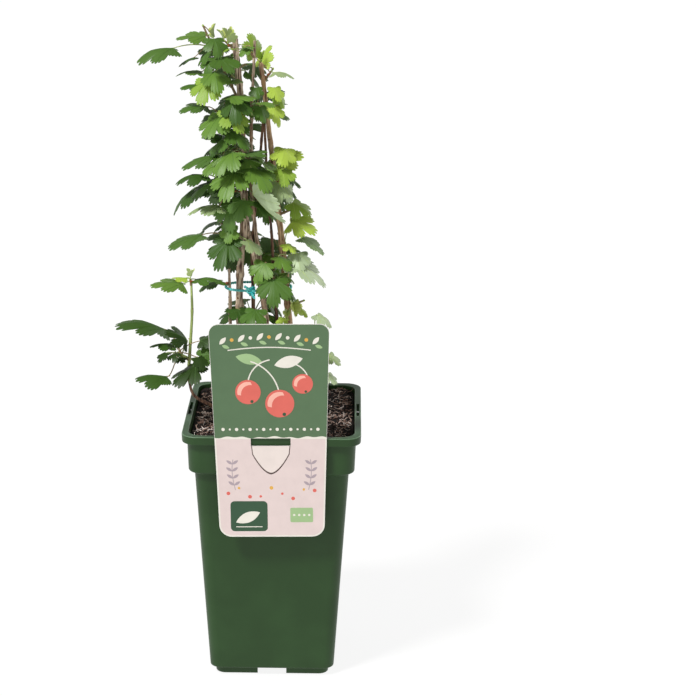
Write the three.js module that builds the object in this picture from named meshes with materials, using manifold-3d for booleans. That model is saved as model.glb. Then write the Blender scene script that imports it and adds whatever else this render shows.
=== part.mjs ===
// A gooseberry bush in a square nursery pot with a hook-on card label, in millimetres.
// +Z is up, the label faces -Y, and the origin is on the floor under the middle of the pot.
import * as THREE from "three";
import { mergeVertices } from "three/addons/utils/BufferGeometryUtils.js";
import Module from "manifold-3d";

const wasm = await Module();
wasm.setup();

const GAP = 0.3; // kept between neighbouring pieces

// The pot: widths are across the flats of its rounded square plan.
const WALL = 1.4;
const CORNER_SHARE = 0.085; // corner radius over width
const FOOT = { height: 6.9, width: 98.9, ring: 4, notch: 25, notchHeight: 5.5, padRadius: 20 };
const BODY = { bottom: 107.5, top: 130.3 };
const COLLAR = { z: 193, chamfer: 2.2, bottom: 139.5, top: 141.8 };
const LIP = { z: 219.9, top: 227.2, width: 150, plate: 1.6 };
const RIM_SLOT = { length: 32, width: 2.4, middle: 72.2 };
const DRAIN = { radius: 4, ring: 34, count: 8 };
const FLOOR_TOP = FOOT.height + 1.7;

// The soil, heaped a little round the stems.
const SOIL_EDGE_Z = 219;
const SOIL_Z = 222;
const SOIL_FLAT = 104; // width of the level top where the stems stand
const GROUND = SOIL_Z + GAP;

// The card label: a long tapering card with a slot that the pot's lip fills.
const CARD = { bottomZ: 140, topZ: 326, bottom: 88.3, top: 98.5, thick: 1, radius: 8, foot: 10.5 };
const CARD_BACK_Y = -LIP.width / 2 - GAP - 0.1;
const CARD_LEAN = 0.9; // degrees, its top to the left
const SLOT = { bottomZ: 220.8, topZ: 227.6, width: 33 };
const TONGUE = { depth: 25, tip: 8, line: 0.6 };
const HOOK = { width: 29, thick: 1, rise: 0.7, reach: 6.9, drop: 9 };

// The ties: round string about the canes, knotted in front.
const TIE_RADIUS = 0.9;

// One leaf, as shares of its length from stalk to tip.
const LEAF = { middle: 0.45, lobe: 0.58, sinus: 0.41, shoulder: 0.48, thick: 0.032 };
const STALK_RADIUS = 0.75;
const TWIG = { foot: 1.4, tip: 1 };
const RIM_POINTS = 12;
const STALK_STEP = 6; // the rim point where the stalk meets the blade
const LONG_STALK = 16; // a longer stalk is bent once on its way
const CLEARANCE = 0.045; // room round a leaf, as a share of its length
const STALK_ROOM = 1.2;
const SHIFTS = [0, -3, 3, -6, 6, -9, 9, -12];
const TRIES = 70;
const SEED = 20250;

// The room that the rule's own leaves keep to: a cone about the canes.
const CROWN = { lowZ: 300, highZ: 545, lowX: -14, highX: -26, y: 4, lowRadius: 54, highRadius: 38 };
const CROWN_BACK = 1.2; // how much deeper it is towards the back

const radians = THREE.MathUtils.degToRad;
const mix = THREE.MathUtils.lerp;

// ---- solids -----------------------------------------------------------------------------

// The closed solid that a geometry's faces bound.
function solidOf(geometry) {
  const bare = new THREE.BufferGeometry();
  bare.setAttribute("position", geometry.getAttribute("position"));
  bare.setIndex(geometry.index);
  const merged = mergeVertices(bare, 1e-4);
  const vertProperties = merged.attributes.position.array;
  const triVerts = merged.index.array;
  return new wasm.Manifold(new wasm.Mesh({ numProp: 3, vertProperties, triVerts }));
}

const join = (solids) => solids.reduce((whole, solid) => whole.add(solid));

const cutAway = (solid, tools) => tools.reduce((rest, tool) => rest.subtract(tool), solid);

function geometryOf(solid) {
  const mesh = solid.getMesh();
  const geometry = new THREE.BufferGeometry();
  geometry.setAttribute("position", new THREE.BufferAttribute(mesh.vertProperties, 3));
  geometry.setIndex(new THREE.BufferAttribute(mesh.triVerts, 1));
  return geometry;
}

function box(width, depth, height, x, y, z) {
  return solidOf(new THREE.BoxGeometry(width, depth, height).translate(x, y, z));
}

// An upright cylinder standing on z.
function post(radius, height, x, y, z, sides) {
  const cylinder = new THREE.CylinderGeometry(radius, radius, height, sides);
  return solidOf(cylinder.rotateX(Math.PI / 2).translate(x, y, z + height / 2));
}

// ---- pot --------------------------------------------------------------------------------

function roundedSquare(width) {
  const half = width / 2;
  const flat = half - width * CORNER_SHARE;
  const radius = half - flat;
  const shape = new THREE.Shape();
  for (let quarter = 0; quarter < 4; quarter++) {
    const start = (quarter * Math.PI) / 2;
    const corner = new THREE.Vector2(flat, flat).rotateAround(new THREE.Vector2(), start);
    shape.absarc(corner.x, corner.y, radius, start, start + Math.PI / 2, false);
  }
  return shape;
}

// A block of rounded square plan that widens evenly from one width to another.
function taperedBlock(bottomWidth, topWidth, bottomZ, topZ) {
  const depth = topZ - bottomZ;
  const options = { depth, bevelEnabled: false, curveSegments: 2 };
  const block = new THREE.ExtrudeGeometry(roundedSquare(1), options);
  const places = block.getAttribute("position");
  for (let i = 0; i < places.count; i++) {
    const width = mix(bottomWidth, topWidth, places.getZ(i) / depth);
    places.setXYZ(i, places.getX(i) * width, places.getY(i) * width, places.getZ(i) + bottomZ);
  }
  return solidOf(block);
}

const bodyWidthAt = (z) =>
  mix(BODY.bottom, BODY.top, (z - FOOT.height) / (COLLAR.z - FOOT.height));

function pot() {
  const shoulderZ = COLLAR.z - COLLAR.chamfer;
  const outside = join([
    taperedBlock(FOOT.width - 1, FOOT.width, 0, FOOT.height + 0.5),
    taperedBlock(BODY.bottom, bodyWidthAt(COLLAR.z + 1), FOOT.height, COLLAR.z + 1),
    taperedBlock(bodyWidthAt(shoulderZ), COLLAR.bottom, shoulderZ, COLLAR.z),
    taperedBlock(COLLAR.bottom, COLLAR.top, COLLAR.z, LIP.z + 1),
    taperedBlock(LIP.width - 0.6, LIP.width, LIP.z, LIP.top),
  ]);
  const skirtInside = LIP.width - 2 * WALL - 0.6;
  const flangeZ = LIP.top - LIP.plate;
  const underLip = taperedBlock(skirtInside, skirtInside, LIP.z - 1, flangeZ).subtract(
    taperedBlock(COLLAR.top, COLLAR.top, LIP.z - 1, flangeZ),
  );
  const ledgeZ = COLLAR.z + WALL;
  const collarInside = COLLAR.top - 2 * WALL;
  const hollow = join([
    taperedBlock(BODY.bottom - 2 * WALL, BODY.top - 2 * WALL, FLOOR_TOP, ledgeZ + 1),
    taperedBlock(collarInside - 2, collarInside, ledgeZ, LIP.top + 1),
  ]);
  const underFoot = taperedBlock(
    FOOT.width - 2 * FOOT.ring,
    FOOT.width - 2 * FOOT.ring,
    -1,
    FOOT.height,
  ).subtract(post(FOOT.padRadius, FOOT.height + 2, 0, 0, -1, 24));
  const notchRun = FOOT.width + 10;
  const notches = [
    box(FOOT.notch, notchRun, FOOT.notchHeight + 1, 0, 0, (FOOT.notchHeight - 1) / 2),
    box(notchRun, FOOT.notch, FOOT.notchHeight + 1, 0, 0, (FOOT.notchHeight - 1) / 2),
  ].map((notch) => notch.subtract(post(FOOT.padRadius, FOOT.height + 4, 0, 0, -2, 24)));
  const slots = [-1, 1].flatMap((side) => [
    box(RIM_SLOT.length, RIM_SLOT.width, 4, 0, side * RIM_SLOT.middle, LIP.top),
    box(RIM_SLOT.width, RIM_SLOT.length, 4, side * RIM_SLOT.middle, 0, LIP.top),
  ]);
  const drains = Array.from({ length: DRAIN.count }, (_, i) => {
    const turn = (i * 2 * Math.PI) / DRAIN.count;
    const x = DRAIN.ring * Math.cos(turn);
    const y = DRAIN.ring * Math.sin(turn);
    return post(DRAIN.radius, 4, x, y, FOOT.height - 1, 8);
  });
  return cutAway(outside, [underLip, hollow, underFoot, ...notches, ...slots, ...drains]);
}

function soil() {
  const slack = 2 * (WALL + GAP);
  const ledgeZ = COLLAR.z + WALL + GAP;
  const edgeWidth = COLLAR.top - slack - 1.4;
  return join([
    taperedBlock(BODY.bottom - slack, bodyWidthAt(ledgeZ) - slack - 0.3, FLOOR_TOP + GAP, ledgeZ),
    taperedBlock(COLLAR.bottom - slack - 1.4, edgeWidth, ledgeZ, SOIL_EDGE_Z),
    taperedBlock(edgeWidth, SOIL_FLAT, SOIL_EDGE_Z, SOIL_Z),
  ]);
}

// ---- label ------------------------------------------------------------------------------

// A flat outline in X and Z becomes a plate that ends at backY and is `thick` deep.
function uprightPlate(shape, thick, backY) {
  const options = { depth: thick, bevelEnabled: false, curveSegments: 5 };
  return solidOf(new THREE.ExtrudeGeometry(shape, options).rotateX(Math.PI / 2).translate(0, backY, 0));
}

function cardOutline() {
  const { bottomZ, topZ, radius, foot } = CARD;
  const [low, high] = [CARD.bottom / 2, CARD.top / 2];
  const shape = new THREE.Shape();
  shape.moveTo(foot - low, bottomZ);
  shape.lineTo(low - foot, bottomZ);
  shape.quadraticCurveTo(low, bottomZ, low + 0.4, bottomZ + foot);
  shape.lineTo(high - 0.4, topZ - radius);
  shape.quadraticCurveTo(high, topZ, high - radius, topZ);
  shape.lineTo(radius - high, topZ);
  shape.quadraticCurveTo(-high, topZ, 0.4 - high, topZ - radius);
  shape.lineTo(-low - 0.4, bottomZ + foot);
  shape.quadraticCurveTo(-low, bottomZ, foot - low, bottomZ);
  return shape;
}

// The line pressed into the card under the slot, shaped like a blunt V.
function tongueOutline(inset) {
  const half = SLOT.width / 2 - inset;
  const shape = new THREE.Shape();
  shape.moveTo(-half, SLOT.bottomZ + 2 * inset);
  shape.lineTo(-half + 1, SLOT.bottomZ - TONGUE.depth * 0.3);
  shape.lineTo(-TONGUE.tip + inset / 2, SLOT.bottomZ - TONGUE.depth + 2 + inset);
  shape.lineTo(0, SLOT.bottomZ - TONGUE.depth + inset);
  shape.lineTo(TONGUE.tip - inset / 2, SLOT.bottomZ - TONGUE.depth + 2 + inset);
  shape.lineTo(half - 1, SLOT.bottomZ - TONGUE.depth * 0.3);
  shape.lineTo(half, SLOT.bottomZ + 2 * inset);
  return shape;
}

// The strip bent back from the slot's top edge, over the lip and down inside the pot.
function hook() {
  const { width, thick, rise, reach, drop } = HOOK;
  const bottom = LIP.top + rise;
  const inner = CARD_BACK_Y + reach;
  const side = new THREE.Shape();
  side.moveTo(CARD_BACK_Y - CARD.thick / 2, bottom);
  side.lineTo(inner, bottom);
  side.lineTo(inner, bottom + thick - drop);
  side.lineTo(inner + thick, bottom + thick - drop);
  side.lineTo(inner + thick, bottom + thick);
  side.lineTo(CARD_BACK_Y - CARD.thick / 2, bottom + thick);
  side.closePath();
  const strip = new THREE.ExtrudeGeometry(side, { depth: width, bevelEnabled: false });
  // The outline's own x and y are the part's Y and Z, and its depth runs along X.
  strip.applyMatrix4(new THREE.Matrix4().set(0, 0, 1, -width / 2, 1, 0, 0, 0, 0, 1, 0, 0, 0, 0, 0, 1));
  return solidOf(strip);
}

function labelCard() {
  const slotHeight = SLOT.topZ - SLOT.bottomZ;
  const slot = box(SLOT.width, 6, slotHeight, 0, CARD_BACK_Y, SLOT.bottomZ + slotHeight / 2);
  const frontHalf = CARD_BACK_Y - CARD.thick / 2;
  const groove = uprightPlate(tongueOutline(0), CARD.thick, frontHalf).subtract(
    uprightPlate(tongueOutline(TONGUE.line), CARD.thick + 1, frontHalf + 0.5),
  );
  return cutAway(uprightPlate(cardOutline(), CARD.thick, CARD_BACK_Y), [slot, groove]).add(hook());
}

// ---- canes and boughs -------------------------------------------------------------------

const place = (x, y, z) => new THREE.Vector3(x, y, z);

// A unit vector from a compass turn (0 is +X, 90 is +Y) and a climb, both in degrees.
function heading(turn, climb) {
  const flat = Math.cos(radians(climb));
  return place(
    Math.cos(radians(turn)) * flat,
    Math.sin(radians(turn)) * flat,
    Math.sin(radians(climb)),
  );
}

// A closed cylinder bent along a curve, its radius given by the share of the way along. A flat
// foot is cut level.
function bentLimb(curve, radiusAt, sides, steps, flatFoot = false) {
  const tube = new THREE.CylinderGeometry(1, 1, 1, sides, steps).rotateX(Math.PI / 2);
  const places = tube.getAttribute("position");
  for (let i = 0; i < places.count; i++) {
    const share = THREE.MathUtils.clamp(places.getZ(i) + 0.5, 0, 1);
    const along = curve.getTangent(share).normalize();
    const aside = place(0, 1, 0).cross(along);
    if (aside.lengthSq() < 0.05) aside.copy(along).cross(place(0, 0, 1)).negate();
    aside.normalize();
    const across = along.clone().cross(aside);
    const radius = radiusAt(share);
    const spot = curve.getPoint(share);
    spot.addScaledVector(aside, places.getX(i) * radius);
    spot.addScaledVector(across, places.getY(i) * radius);
    places.setXYZ(i, spot.x, spot.y, flatFoot && share === 0 ? curve.getPoint(0).z : spot.z);
  }
  return solidOf(tube);
}

// Every limb runs through a few places, from a flat cut at the soil to its tip.
const LIMBS = {
  cane_left: {
    radius: [1.5, 1.1],
    line: [[-37, 2, GROUND], [-37.6, 1, 306], [-37.8, 0, 331], [-38.3, 0, 352]],
  },
  cane_thick: {
    radius: [3.2, 2.4],
    line: [
      [-27, -4, GROUND], [-29.2, -4, 312], [-28.8, -4, 350], [-25.2, -3, 405], [-28.5, -2, 503],
      [-32.4, -2, 546.5],
    ],
  },
  cane_middle: {
    radius: [2.1, 1.1],
    line: [
      [-8, 4, GROUND], [-9.9, 4, 343], [-14.1, 3, 371], [-18.6, 3, 409], [-19.4, 3, 470],
      [-16.4, 3, 544.5],
    ],
  },
  cane_right: {
    radius: [3.2, 1.7],
    line: [[20, 5, GROUND], [11, 5, 321], [8, 5, 357], [0, 5, 423], [-4.2, 5, 465], [-11.5, 5, 526]],
  },
  cane_crossing: {
    radius: [2.4, 1.5],
    line: [
      [-2, -6, GROUND], [-7.2, -6, 310], [-15.5, -5, 359], [-22.6, 4, 385], [-25.5, 8, 425],
      [-26.5, 9, 458],
    ],
  },
  cane_dark: {
    radius: [1.6, 1],
    line: [[-17, 4, GROUND], [-18.5, 6, 337], [-19, 9, 370], [-13, 11, 440], [-10, 11, 478]],
  },
  cane_slender: {
    radius: [1.5, 0.9],
    line: [[7, 11, GROUND], [1, 11, 314], [-3, 12, 380], [-7.6, 9.6, 448], [-9.5, 9.6, 510]],
  },
  low_branch: {
    radius: [1.5, 1.2],
    line: [[-36, -10, GROUND], [-40, -12, 226], [-54, -17, 236], [-68, -20, 246], [-72.5, -19, 262]],
  },
  left_shoot: {
    radius: [1.5, 1],
    line: [[-72, -18.6, 267], [-70.5, -18, 290], [-68.6, -18, 318], [-69, -18, 342]],
  },
  right_branch: {
    radius: [1.3, 0.9],
    line: [[30, 0, GROUND], [33, -1, 250], [31, -4, 285]],
  },
};
const FLARE = 0.3; // how much wider a stem is where it leaves the soil
const FLARE_SHARE = 0.06;

for (const limb of Object.values(LIMBS)) {
  const stops = limb.line.map((spot) => place(...spot));
  limb.curve = new THREE.CatmullRomCurve3(stops, false, "centripetal");
  limb.grounded = stops[0].z === GROUND;
  limb.radiusAt = (share) => {
    const flare = limb.grounded ? FLARE * Math.max(0, 1 - share / FLARE_SHARE) : 0;
    return mix(limb.radius[0], limb.radius[1], share) * (1 + flare);
  };
}

// The share of the way along a limb at which it is z high.
function shareAt(limb, z) {
  let [low, high] = [0, 1];
  for (let i = 0; i < 30; i++) {
    const middle = (low + high) / 2;
    if (limb.curve.getPoint(middle).z < z) low = middle;
    else high = middle;
  }
  return low;
}

function limbSolid(limb) {
  const thick = limb.radius[0] > 2;
  return bentLimb(limb.curve, limb.radiusAt, thick ? 8 : 6, thick ? 14 : 9, limb.grounded);
}

// ---- ties -------------------------------------------------------------------------------

const TIES = {
  tie_lower: { x: -13.6, y: 2.4, z: 336, wide: 27.6, deep: 12.6, sag: 0.5, knot: -97, ends: [-150, -60] },
  tie_upper: { x: -14, y: 3.4, z: 432, wide: 17.6, deep: 12, sag: 1, knot: -80, ends: [-140, -165] },
};
const TIE_STEPS = 28;
const KNOT_RADIUS = 3.6;
const END_LENGTH = 8;

// A spot on the loop: a rounded box in plan, lower at the front.
function loopSpot(tie, turn) {
  const [c, s] = [Math.cos(turn), Math.sin(turn)];
  const square = (value) => Math.sign(value) * Math.abs(value) ** 0.75;
  return place(tie.x + tie.wide * square(c), tie.y + tie.deep * square(s), tie.z + tie.sag * s);
}

function tieSolid(tie) {
  const ring = new THREE.TorusGeometry(1, 0.5, 5, TIE_STEPS);
  const places = ring.getAttribute("position");
  for (let i = 0; i < places.count; i++) {
    const spot = place(places.getX(i), places.getY(i), places.getZ(i));
    const turn = Math.atan2(spot.y, spot.x);
    const along = loopSpot(tie, turn + 0.02).sub(loopSpot(tie, turn - 0.02)).setZ(0).normalize();
    const outward = place(along.y, -along.x, 0);
    const out = (Math.hypot(spot.x, spot.y) - 1) * 2 * TIE_RADIUS;
    const moved = loopSpot(tie, turn).addScaledVector(outward, out);
    places.setXYZ(i, moved.x, moved.y, moved.z + spot.z * 2 * TIE_RADIUS);
  }
  const centre = loopSpot(tie, radians(tie.knot)).add(place(0, -1.6, 0));
  const knot = new THREE.SphereGeometry(KNOT_RADIUS, 7, 4).rotateX(Math.PI / 2);
  const ends = tie.ends.map((turn, i) => {
    const tip = centre.clone().addScaledVector(heading(turn, i ? -35 : 40), END_LENGTH);
    const bend = centre.clone().lerp(tip, 0.5).add(place(0, -1.5, 1));
    const curve = new THREE.QuadraticBezierCurve3(centre, bend, tip);
    return bentLimb(curve, () => TIE_RADIUS, 4, 3);
  });
  knot.scale(1, 0.7, 1).translate(centre.x, centre.y, centre.z);
  return join([solidOf(ring), solidOf(knot), ...ends]);
}

// ---- leaves -----------------------------------------------------------------------------

// Repeatable random shares between 0 and 1.
function dice(seed) {
  let state = seed >>> 0;
  return () => {
    state = (Math.imul(state, 1664525) + 1013904223) >>> 0;
    return state / 4294967296;
  };
}

// The five-lobed outline as a reach from the blade's middle, from the tip round to the stalk.
function rimReach(step) {
  const fromTip = Math.min(step, RIM_POINTS - step);
  if (fromTip === STALK_STEP) return LEAF.middle;
  if (fromTip === STALK_STEP - 1) return LEAF.shoulder;
  return fromTip % 2 ? LEAF.sinus : LEAF.lobe;
}

// Blade directions: along the midrib, to its left, and up from the upper face.
function bladeAxes(leaf) {
  const along = heading(leaf.turn, leaf.climb);
  const level = place(-Math.sin(radians(leaf.turn)), Math.cos(radians(leaf.turn)), 0);
  const up = along.clone().cross(level);
  const roll = radians(leaf.roll);
  const left = level.clone().multiplyScalar(Math.cos(roll)).addScaledVector(up, Math.sin(roll));
  return { along, left, up: along.clone().cross(left) };
}

// The place on a blade at a share of its length and a share to its left. Its halves droop from
// the midrib, which arches between its two ends.
function onBlade(leaf, forward, aside) {
  const { along, left, up } = leaf.axes;
  const fold = radians(leaf.fold);
  const drop = Math.abs(aside) * Math.sin(fold) - leaf.curl * forward * (1 - forward);
  return leaf.base
    .clone()
    .addScaledVector(along, forward * leaf.size)
    .addScaledVector(left, aside * Math.cos(fold) * leaf.size)
    .addScaledVector(up, -drop * leaf.size);
}

function rimSpot(leaf, step, share) {
  const angle = (step * 2 * Math.PI) / RIM_POINTS;
  const low = Math.floor(step);
  const reach = mix(rimReach(low % RIM_POINTS), rimReach((low + 1) % RIM_POINTS), step - low);
  const out = reach * share;
  return onBlade(leaf, LEAF.middle + out * Math.cos(angle), out * Math.sin(angle));
}

// The stalk arches from the twig to the blade's foot.
function stalkCurve(leaf) {
  const span = leaf.start.distanceTo(leaf.base);
  const rise = leaf.start.clone().lerp(leaf.base, 0.4).add(place(0, 0, 0.16 * span));
  const lead = leaf.base.clone().addScaledVector(leaf.axes.along, -0.2 * span);
  return new THREE.CubicBezierCurve3(leaf.start, rise, lead, leaf.base);
}

// A three-sided ring round the stalk: its left, right and upper corners.
function stalkRing(leaf, curve, share) {
  const along = share === 1 ? leaf.axes.along : curve.getTangent(share);
  const left = leaf.axes.left.clone().addScaledVector(along, -along.dot(leaf.axes.left)).normalize();
  const up = along.clone().cross(left);
  const spot = curve.getPoint(share);
  const corner = (way, size) => spot.clone().addScaledVector(way, size * STALK_RADIUS);
  return [corner(left, 1), corner(left, -1), corner(up, 1.2)];
}

// One closed piece: the blade is a thin double cone with the lobed rim, and the rim's foot
// opens into the stalk.
function leafSolid(leaf) {
  const upper = (share) =>
    onBlade(leaf, LEAF.middle, 0).addScaledVector(leaf.axes.up, share * LEAF.thick * leaf.size);
  const spots = [upper(0.5), upper(-0.5)];
  const rim = [];
  for (let step = 0; step < RIM_POINTS; step++) {
    rim.push(spots.length);
    if (step !== STALK_STEP) spots.push(rimSpot(leaf, step, 1));
  }
  const curve = stalkCurve(leaf);
  const pieces = leaf.start.distanceTo(leaf.base) > LONG_STALK ? 2 : 1;
  const rings = [];
  for (let i = pieces; i >= 0; i--) {
    rings.push([0, 1, 2].map((corner) => spots.length + corner));
    spots.push(...stalkRing(leaf, curve, i / pieces));
  }
  const [left, right, top] = rings[0];
  const order = [...rim.slice(0, STALK_STEP), left, right, ...rim.slice(STALK_STEP + 1)];
  const faces = [[0, left, top], [0, top, right]];
  order.forEach((spot, i) => {
    const next = order[(i + 1) % order.length];
    if (spot !== left) faces.push([0, spot, next]);
    faces.push([1, next, spot]);
  });
  for (let i = 0; i < pieces; i++) {
    for (let side = 0; side < 3; side++) {
      const [a, b] = [rings[i][side], rings[i][(side + 1) % 3]];
      const [c, d] = [rings[i + 1][side], rings[i + 1][(side + 1) % 3]];
      faces.push([a, b, d], [a, d, c]);
    }
  }
  faces.push(rings[pieces]);
  const geometry = new THREE.BufferGeometry().setFromPoints(spots).setIndex(faces.flat());
  return solidOf(geometry);
}

// Points that stand for a leaf in the tests of what it would touch.
function leafPoints(leaf) {
  const room = CLEARANCE * leaf.size;
  const points = [{ spot: onBlade(leaf, LEAF.middle, 0), room, blade: true }];
  for (let step = 0; step < RIM_POINTS; step++) {
    for (const share of [0.25, 0.5, 0.75, 1]) {
      points.push({ spot: rimSpot(leaf, step, share), room, blade: true });
    }
    for (const share of [0.6, 1]) {
      points.push({ spot: rimSpot(leaf, step + 0.5, share), room, blade: true });
    }
  }
  const curve = stalkCurve(leaf);
  const count = Math.ceil(leaf.start.distanceTo(leaf.base) / 3);
  for (let i = 1; i < count; i++) {
    points.push({ spot: curve.getPoint(i / count), room: STALK_ROOM, blade: false });
  }
  return points;
}

function distanceToPiece(spot, [start, end]) {
  const run = end.clone().sub(start);
  const share = spot.clone().sub(start).dot(run) / run.lengthSq();
  return start.clone().addScaledVector(run, THREE.MathUtils.clamp(share, 0, 1)).distanceTo(spot);
}

// Short straight pieces of every limb and tie, with the room that each needs.
const OBSTACLES = [];
for (const limb of Object.values(LIMBS)) {
  const pieces = 16;
  for (let i = 0; i < pieces; i++) {
    const ends = [limb.curve.getPoint(i / pieces), limb.curve.getPoint((i + 1) / pieces)];
    OBSTACLES.push({ ends, room: limb.radiusAt((i + 0.5) / pieces) });
  }
}
for (const tie of Object.values(TIES)) {
  const pieces = 20;
  const spots = Array.from({ length: pieces + 1 }, (_, i) => loopSpot(tie, (i * 2 * Math.PI) / pieces));
  for (let i = 0; i < pieces; i++) {
    OBSTACLES.push({ ends: [spots[i], spots[i + 1]], room: TIE_RADIUS + 0.6 });
  }
}

const BLADE_GAP = 2; // between a blade and a limb
const STALK_GAP = 0.9;
const taken = []; // the points of every leaf so far

function touches(points, mass) {
  for (const point of points) {
    const gap = point.blade ? BLADE_GAP : STALK_GAP;
    for (const { ends, room } of OBSTACLES) {
      if (distanceToPiece(point.spot, ends) < room + gap) return true;
    }
    for (const other of taken) {
      if (other.mass === mass && !(point.blade && other.blade)) continue;
      const share = other.mass === mass ? 0.6 : 1;
      if (point.spot.distanceTo(other.spot) < share * (point.room + other.room)) return true;
    }
  }
  return false;
}

// ---- masses of leaves -------------------------------------------------------------------

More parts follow.
